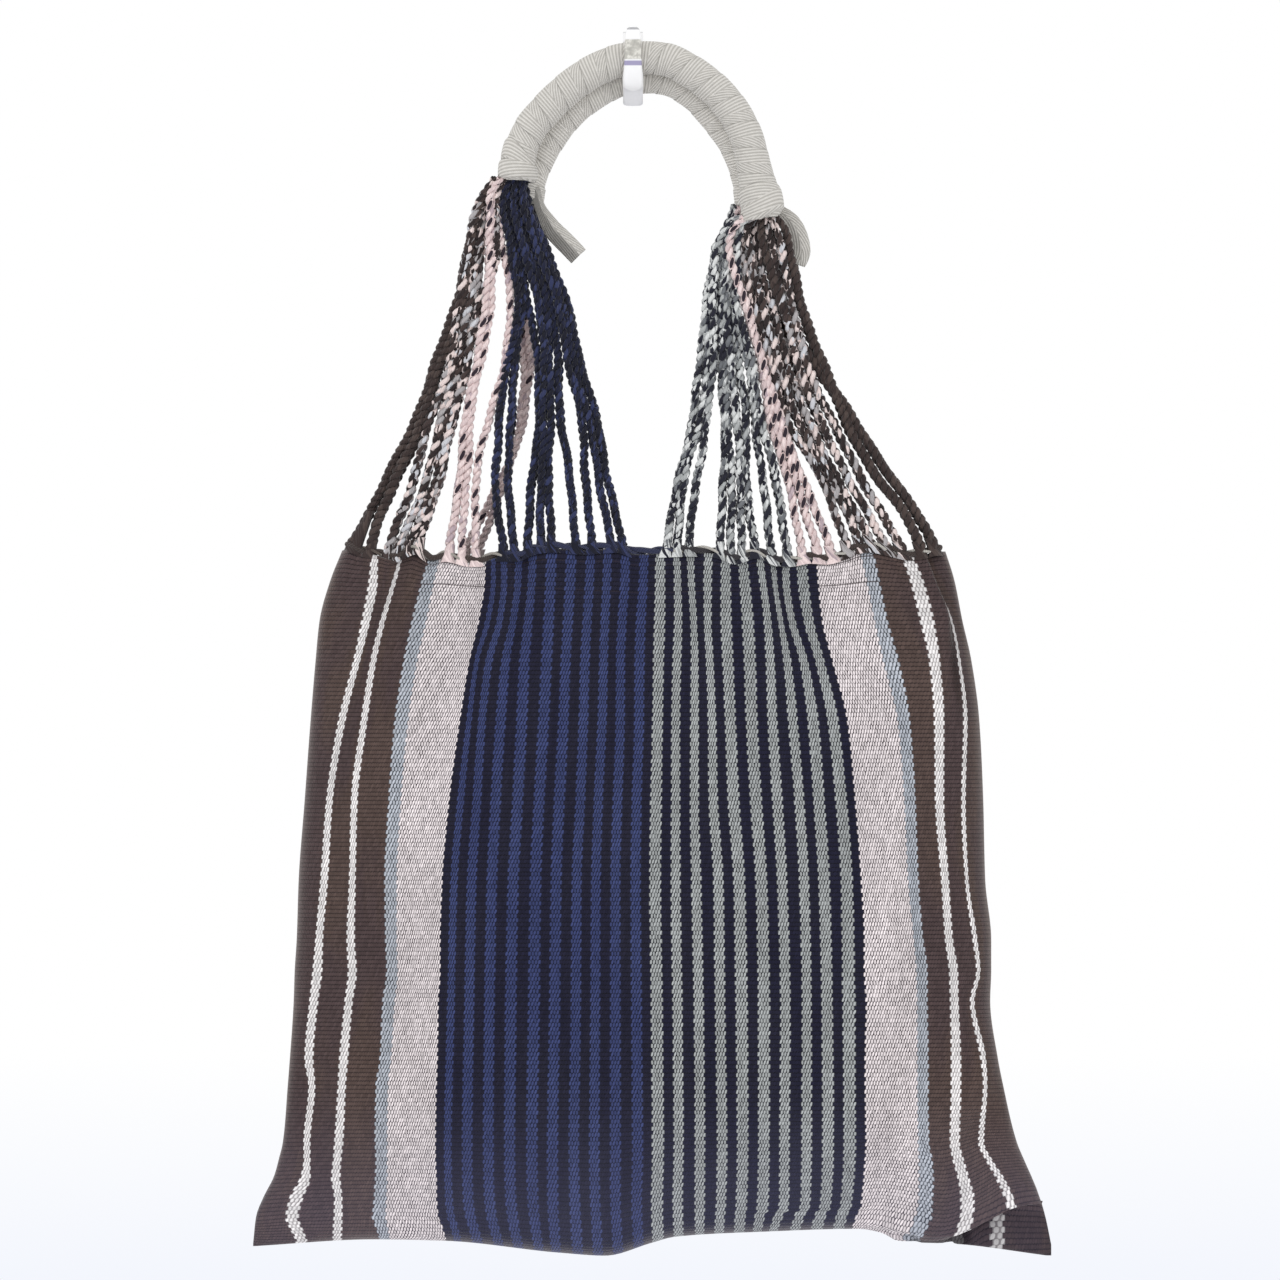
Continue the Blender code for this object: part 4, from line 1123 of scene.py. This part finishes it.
# Painted shade in the grooves between the tape's ribs and a painted highlight on their ridges.
TAPE_GROOVE_SHADE, TAPE_RIDGE_LIGHT = srgb(174, 171, 164), srgb(215, 212, 206)

# Extra turns that bind the handle's ends: place along the handle from its nearer end, how
# far the turn leans, at which angle it is highest, its width and how far it stands out.
Band = namedtuple("Band", "end place lean high width out")
FRONT_BANDS = (
    Band("left", 8.5, 6, 0.5, 11, 0.9), Band("left", 4.4, 1.2, 1.2, 10, 1.4),
    Band("right", 9, -3.2, 1.5, 12.5, 1.1), Band("right", 4.6, -4.2, 0.3, 12, 1.5),
)
BACK_BANDS = (Band("left", 6.0, 1.5, 1.6, 12.0, 0.8), Band("right", 6.0, -1.5, 1.6, 12.0, 0.6))


def tape_material(name, brightness):
    p = Paint(name, Roughness=0.75, Sheen_Weight=0.1, Specular_IOR_Level=0.3)
    along, across = p.uv()
    wide = p.math("LESS_THAN", across, RIB_SPLIT * TAPE_LEAD)
    lean = p.math("MULTIPLY_ADD", wide, RIB_LEAN[0] - RIB_LEAN[1], RIB_LEAN[1])
    place = p.ratio(p.math("MULTIPLY_ADD", along, lean, across), RIB_PITCH)
    wave = p.math("COSINE", p.times(place, TAU))
    ridge = p.math("POWER", p.math("MULTIPLY_ADD", wave, 0.5, 0.5), 0.7)
    stitch = p.times(p.math("MULTIPLY_ADD", across, 0.8, along), TAU / STITCH)
    stitch = p.math("COSINE", stitch)
    grain = p.noise(p.vector(along, across), 0.35, 3.0, "2D")
    light = p.math("MULTIPLY_ADD", grain, 0.2, brightness - 0.1)
    light = p.times(light, p.math("MULTIPLY_ADD", stitch, 0.025, 1.0))
    # Painted shade along the seam, at the edge where each turn goes down under the next.
    light = p.times(light, p.reach(across, -0.4, 0.8, 0.5, 1.0))
    # Painted shade from the shade UV layer, on the loose ends below their fold.
    light = p.times(light, p.minus(1.0, p.uv("shade")[0]))
    # Groove colour with painted shade, ridge colour with a painted highlight.
    p.base(p.dim(p.mix(ridge, TAPE_GROOVE_SHADE, TAPE_RIDGE_LIGHT), light))
    p.bump(p.math("MULTIPLY_ADD", stitch, 0.1, ridge), 0.0003, 0.85)
    return p.material


class Route:
    """A smooth path through stops, with directions out from the arch and to the front."""

    def __init__(self, stops):
        self.rows = np.array(stops, float)
        self.places = path_places(self.rows[:, :3])
        self.length = self.places[-1]

    def values(self, place):
        return free_curve(self.places, self.rows, np.clip(place, 0.0, self.length))

    def at(self, place):
        place = np.asarray(place, float)
        flat = np.clip(place.ravel(), 0.0, self.length)
        values = self.values(flat)
        tangent = unit((self.values(flat + 0.5) - self.values(flat - 0.5))[:, :3])
        centre = values[:, :3] + tangent * (place.ravel() - flat)[:, None]
        front = unit(np.array([0.0, -1.0, 0.0]) + tangent * tangent[:, 1:2])
        return [part.reshape(*place.shape, -1)
                for part in (centre, np.cross(front, tangent), front, values[:, 3:])]


def add_wrap(soup, route, place, angle, radius, uv):
    """A sheet laid round a route: place, angle and radius are grids of the same shape."""
    centre, outward, front, _ = route.at(place)
    points = centre + radius[..., None] * (np.cos(angle)[..., None] * outward
                                           + np.sin(angle)[..., None] * front)
    soup.grid(points, uv)


def make_handle(name, node, stops, bands, paint):
    """A grip: the winding tape, the turns that bind its ends, and the core they lie on."""
    route = Route(stops)
    soup = Soup()
    end = route.length
    turns = (end + TAPE_WIDTH) / TAPE_LEAD
    turn = np.linspace(-TAPE_WIDTH / TAPE_LEAD, turns, int(turns * TAPE_TURN_SIDES))[:, None]
    place = np.clip(turn * TAPE_LEAD + TAPE_ACROSS, 0.0, end)
    radius = route.at(place)[3][..., 0] + np.array(TAPE_RISE) * TAPE_LIFT
    tuck = np.minimum(place, end - place)
    radius = radius - TUCKED * (1.0 - smooth(tuck / TUCKED_OVER))
    uv = spread(turn * TAU * GRIP_RADIUS, TAPE_ACROSS)
    add_wrap(soup, route, place, -turn * TAU, radius, uv)
    for band in bands:
        start = band.place if band.end == "left" else end - band.place
        angle = np.linspace(0.0, TAU, BAND_SIDES + 1)[:, None]
        share = np.linspace(-1.0, 1.0, BAND_STEPS)
        place = start + band.lean * np.cos(angle - band.high) + share * band.width / 2.0
        place = np.clip(place, -0.6, end + 0.6)
        height = band.out * (1.0 - np.abs(share) ** 5) - 1.3 * np.abs(share) ** 9
        radius = route.at(np.full_like(place, start))[3][..., 0] + height
        over = share if band.end == "right" else -share
        uv = spread(angle * BAND_RADIUS, (over + 1.0) * band.width / 2.0 - BAND_SEAM)
        add_wrap(soup, route, place, angle, radius, uv)
    low, high = CORE_INSET, end - CORE_INSET
    place = np.concatenate([[low], np.linspace(low, high, CORE_STEPS), [high]])
    place, angle = np.meshgrid(place, np.linspace(0.0, TAU, CORE_SIDES + 1), indexing="ij")
    radius = route.at(place)[3][..., 0] - CORE_BELOW
    radius[0] = radius[-1] = CORE_END
    add_wrap(soup, route, place, angle, radius, spread(angle * CORE_RADIUS, place))
    hand_over(soup.build(name), paint, node)


# Loose ends of the tape: x, y and z along the middle, half the width that shows and how deep
# the lengthwise fold is.
TAPE_TAIL = (
    (-49.5, -21, -64, 2.4, 0.4), (-46.4, -20.8, -74.5, 2.7, 0.6), (-43.2, -20.8, -80.5, 3.8, 1.2),
    (-39.7, -21.5, -85.7, 4.6, 2.2), (-35.8, -22, -89.7, 4.8, 2.6),
    (-31.9, -22.3, -93.6, 4.8, 2.6), (-27.4, -22.5, -98.4, 4.8, 2),
)
TAPE_FLAP = (
    (72.6, -20, -76, 4, 0.6), (79, -20.5, -82, 5.2, 1.2), (82.6, -21, -90, 5.6, 1.6),
    (83.6, -21.5, -97, 5.4, 1.4), (82, -22, -102.5, 4.6, 1),
)
TAPE_THICKNESS = 1.0
RIDGE_PLACE = 0.2         # where the fold runs, from the middle to the upper edge
RIDGE_SIDES = (1.5, 0.9)  # how steep the tape is below and above its fold
END_STEPS, END_COLUMNS = 60, 25


def make_tape_end(name, node, rows, paint, underside):
    """A loose end of the tape; underside is how dark the painted shade on its part below the fold
    is.
    """
    route = Route(rows)
    place = np.linspace(0.0, route.length, END_STEPS)
    centre, outward, front, sizes = route.at(place)
    share = np.linspace(-1.0, 1.0, END_COLUMNS)[None, :, None]
    half, fold = sizes[:, None, :1], sizes[:, None, 1:]
    from_ridge = share - RIDGE_PLACE
    ridge = np.sqrt(from_ridge ** 2 + 0.01) * np.where(from_ridge < 0.0, *RIDGE_SIDES)
    points = centre[:, None] + outward[:, None] * share * half - front[:, None] * fold * ridge
    soup = Soup()
    soup.grid(points, spread(place[:, None], (share[0, :, 0] + 1.0) * 0.5 * TAPE_LEAD))
    tape = soup.build(name)
    # Painted shade on the part below the fold, kept in the shade UV layer.
    share = soup.uvs[0][:, 1] / TAPE_LEAD * 2.0 - 1.0
    shade = underside * (1.0 - smooth((share - RIDGE_PLACE) / 0.1 + 0.9))
    layer = tape.data.uv_layers.new(name="shade")
    layer.data.foreach_set("uv", np.repeat(shade, 2))
    thicken(tape, TAPE_THICKNESS, 0.0)
    hand_over(tape, paint, node)


# ------------------------------------------------------------------ hook
STRAP, STRAP_WIDTH = 4.0, 10.0
WALL_LEG_TOP, WALL_LEG_FOOT = 15.0, -9.6
BACK_BEND = 11.0
FRONT_REACH = 25.8
TIP_FOOT, TIP_TOP, TIP_LEAN = 1.0, 16.6, 0.9
# Half widths of the front of the strap by height: it swells above its lowest bend.
FRONT_HALF = (
    (-20.6, 4.3), (-18.5, 4.8), (-15, 5.1), (-9.5, 5.3), (-4.5, 4.7), (0, 4.35), (8, 4.2),
    (14, 3.5), (16.6, 3.1),
)
# Heights, in metres, over which the hook's painted reflections and painted shade come in and go
# out: a dull patch with a mottled painted reflection, a tinted painted glint, a grey painted
# reflection line near the tip and painted shade below the lowest bend; and the colours of the dull
# patch's painted reflection.
DULL_REFLECTION = ((-0.0005, 0.0005), (0.0105, 0.0095))
TINTED_GLINT = ((-0.0034, -0.0028), (-0.0004, -0.001))
TIP_REFLECTION_LINE = ((0.0146, 0.015), (0.0162, 0.0158))
LOW_BEND_SHADE = (-0.0152, -0.0162)
METAL_REFLECTIONS = ((0.0, srgb(120, 118, 112)), (0.5, srgb(196, 194, 186)), (0.62, srgb(226, 224, 216)))
BEND_STEPS, TIP_STEPS, HOOK_SIDES = 15, 13, 32


def hook_material():
    p = Paint("bright_metal", Metallic=0.25)
    spot = p.spot()
    x, _, height = p.parts(spot)

    def between(rise, fall):
        return p.times(p.reach(height, *rise), p.reach(height, *fall))

    # Painted light: near white all over as a painted highlight, a mottled painted reflection in
    # the dull patch, a tinted painted glint, painted shade below the lowest bend, a grey painted
    # reflection line near the tip and painted shade at the edges seen from the side; the dull
    # patch is also rougher.
    dull_reflection = between(*DULL_REFLECTION)
    mottle = p.ramp(p.noise(spot, 420.0, 3.0), METAL_REFLECTIONS, "LINEAR")
    colour = p.mix(dull_reflection, srgb(250, 250, 250), mottle)
    colour = p.mix(between(*TINTED_GLINT), colour, srgb(164, 158, 190))
    bend = p.minus(height, p.times(p.times(x, x), 90.0))
    colour = p.mix(p.reach(bend, *LOW_BEND_SHADE), colour, srgb(230, 230, 232))
    colour = p.mix(between(*TIP_REFLECTION_LINE), colour, srgb(176, 176, 178))
    facing = p.node("LayerWeight", {"Blend": 0.3}).outputs["Facing"]
    p.base(p.mix(p.reach(facing, 0.35, 0.95), colour, srgb(204, 204, 208)))
    p.feed(p.shader.inputs["Roughness"], p.math("MULTIPLY_ADD", dull_reflection, 0.3, 0.3))
    return p.material


def strap_points():
    """The strap's middle line in depth and height with its half width: down the wall, round
    the bend, forward under the handles and up to the narrower tip."""
    wall_y = -STRAP / 2.0
    bend_y = wall_y - BACK_BEND
    bottom = WALL_LEG_FOOT - BACK_BEND
    half = STRAP_WIDTH / 2.0
    line = [(wall_y, z, half) for z in np.linspace(WALL_LEG_TOP, WALL_LEG_FOOT, 8)]
    quarter = np.linspace(0.0, math.pi / 2.0, BEND_STEPS + 1)[1:]
    line += [(bend_y + BACK_BEND * math.cos(a), WALL_LEG_FOOT - BACK_BEND * math.sin(a), half)
             for a in quarter]
    line += [(bend_y - FRONT_REACH * math.sin(a),
              bottom + (TIP_FOOT - bottom) * (1.0 - math.cos(a)), 1.0) for a in quarter]
    for share in np.linspace(0.0, 1.0, TIP_STEPS + 1)[1:]:
        line.append((bend_y - FRONT_REACH - TIP_LEAN * share,
                     TIP_FOOT + (TIP_TOP - TIP_FOOT) * share,
                     math.sqrt(1.0 - max(0.0, (share - 0.86) / 0.14) ** 2 * 0.8)))
    line = np.array(line)
    front = line[-(BEND_STEPS + TIP_STEPS):]
    front[:, 2] *= profile(FRONT_HALF, front[:, 1])
    return line


def make_hook():
    line = strap_points()
    flow = unit(np.gradient(line[:, :2], axis=0))
    turn = np.arange(HOOK_SIDES + 1) / HOOK_SIDES
    cosine, sine = np.cos(TAU * turn[:-1]), np.sin(TAU * turn[:-1])
    wide = np.sign(cosine) * np.abs(cosine) ** 0.45
    thick = np.sign(sine) * np.abs(sine) ** 0.75 * STRAP / 2.0
    x = line[:, 2:3] * wide
    y = line[:, :1] + flow[:, 1:2] * thick
    z = line[:, 1:2] - flow[:, :1] * thick
    points = np.stack([x, y, z], 2)
    soup = Soup()
    soup.grid(points, spread(np.arange(len(line), dtype=float)[:, None], turn), wrap=True)
    for ring in (points[0], points[-1]):
        soup.cap(ring, (0.0, 0.0))
    hand_over(soup.build("bright_hook"), hook_material(), "hook")


# ------------------------------------------------------------------ stage
CAMERA_X, CAMERA_Z = 3.52, -291.45
CAMERA_DISTANCE = 8000.0
CAMERA_PLANE = -28.0
VIEW_WIDTH = 643.2
FLOOR_Z, FLOOR_SIZE = -1100.0, 12000.0
FLOOR_COLOUR = (0.9, 0.9, 0.92, 1.0)
SENSOR, VIEW_END = 36.0, 60.0
WHITE = (1.0, 1.0, 1.0, 1.0)
SKY_TINT, TINT_FROM, TINT_TO = srgb(242, 245, 253), -0.026, -0.042  # a faint blue low down
Lamp = namedtuple("Lamp", "name place aim size power")
LAMPS = (Lamp("key", (-0.9, -1.6, 1.2), (0.0, -0.03, -0.3), 1.4, 7.0),
         Lamp("fill", (1.4, -1.8, 0.3), (0.0, -0.03, -0.35), 1.6, 2.0))


def put(name, data, place, turned):
    """A camera or lamp in the scene."""
    thing = bpy.data.objects.new(name, data)
    thing.location = place
    thing.rotation_euler = turned
    bpy.context.scene.collection.objects.link(thing)
    return thing


def make_stage():
    data = bpy.data.cameras.new("camera")
    data.sensor_width = SENSOR
    data.lens = SENSOR * CAMERA_DISTANCE / VIEW_WIDTH
    data.clip_end = VIEW_END
    place = (CAMERA_X * MM, (CAMERA_PLANE - CAMERA_DISTANCE) * MM, CAMERA_Z * MM)
    bpy.context.scene.camera = put("camera", data, place, (math.pi / 2.0, 0.0, 0.0))

    world = bpy.data.worlds.new("studio")
    world.use_nodes = True
    sky = Nodes(world.node_tree)
    background = world.node_tree.nodes["Background"]
    background.inputs["Strength"].default_value = 1.0
    height = sky.parts(sky.node("TexCoord").outputs["Generated"])[2]
    low = sky.reach(height, TINT_FROM, TINT_TO, kind="LINEAR")
    sky.feed(background.inputs["Color"], sky.mix(low, WHITE, SKY_TINT))
    bpy.context.scene.world = world
    bpy.context.scene.view_settings.view_transform = "Standard"

    for lamp in LAMPS:
        light = bpy.data.lights.new(lamp.name, "AREA")
        light.size = lamp.size
        light.energy = lamp.power
        aim = Vector(lamp.aim) - Vector(lamp.place)
        put(lamp.name, light, lamp.place, aim.to_track_quat("-Z", "Y").to_euler())


def make_floor():
    """A pale floor below the bag."""
    half = FLOOR_SIZE / 2.0
    corners = ((-half, -half), (half, -half), (half, half), (-half, half))
    floor = make_mesh("pale_floor", [(x, y, FLOOR_Z) for x, y in corners], [(0, 1, 2, 3)])
    floor.data.materials.append(
        Paint("floor_white", Roughness=0.9, Base_Color=FLOOR_COLOUR).material)


make_stage()
make_floor()
make_bag()
make_cords()
make_edge_yarns()
tape_paint = tape_material("herringbone_tape", 1.0)
# Painted light: the back handle's tape is 13 % lighter, to make up for the shade that the front
# handle casts on it.
lightened_back_paint = tape_material("herringbone_tape_behind_painted_lighter", 1.13)
make_handle("wound_handle_front", "handle_front", FRONT_HANDLE, FRONT_BANDS, tape_paint)
make_handle("wound_handle_back", "handle_back", BACK_HANDLE, BACK_BANDS, lightened_back_paint)
make_tape_end("tape_end_left", "tape_tail", TAPE_TAIL, tape_paint, 0.36)
make_tape_end("tape_end_right", "tape_flap", TAPE_FLAP, tape_paint, 0.08)
make_hook()
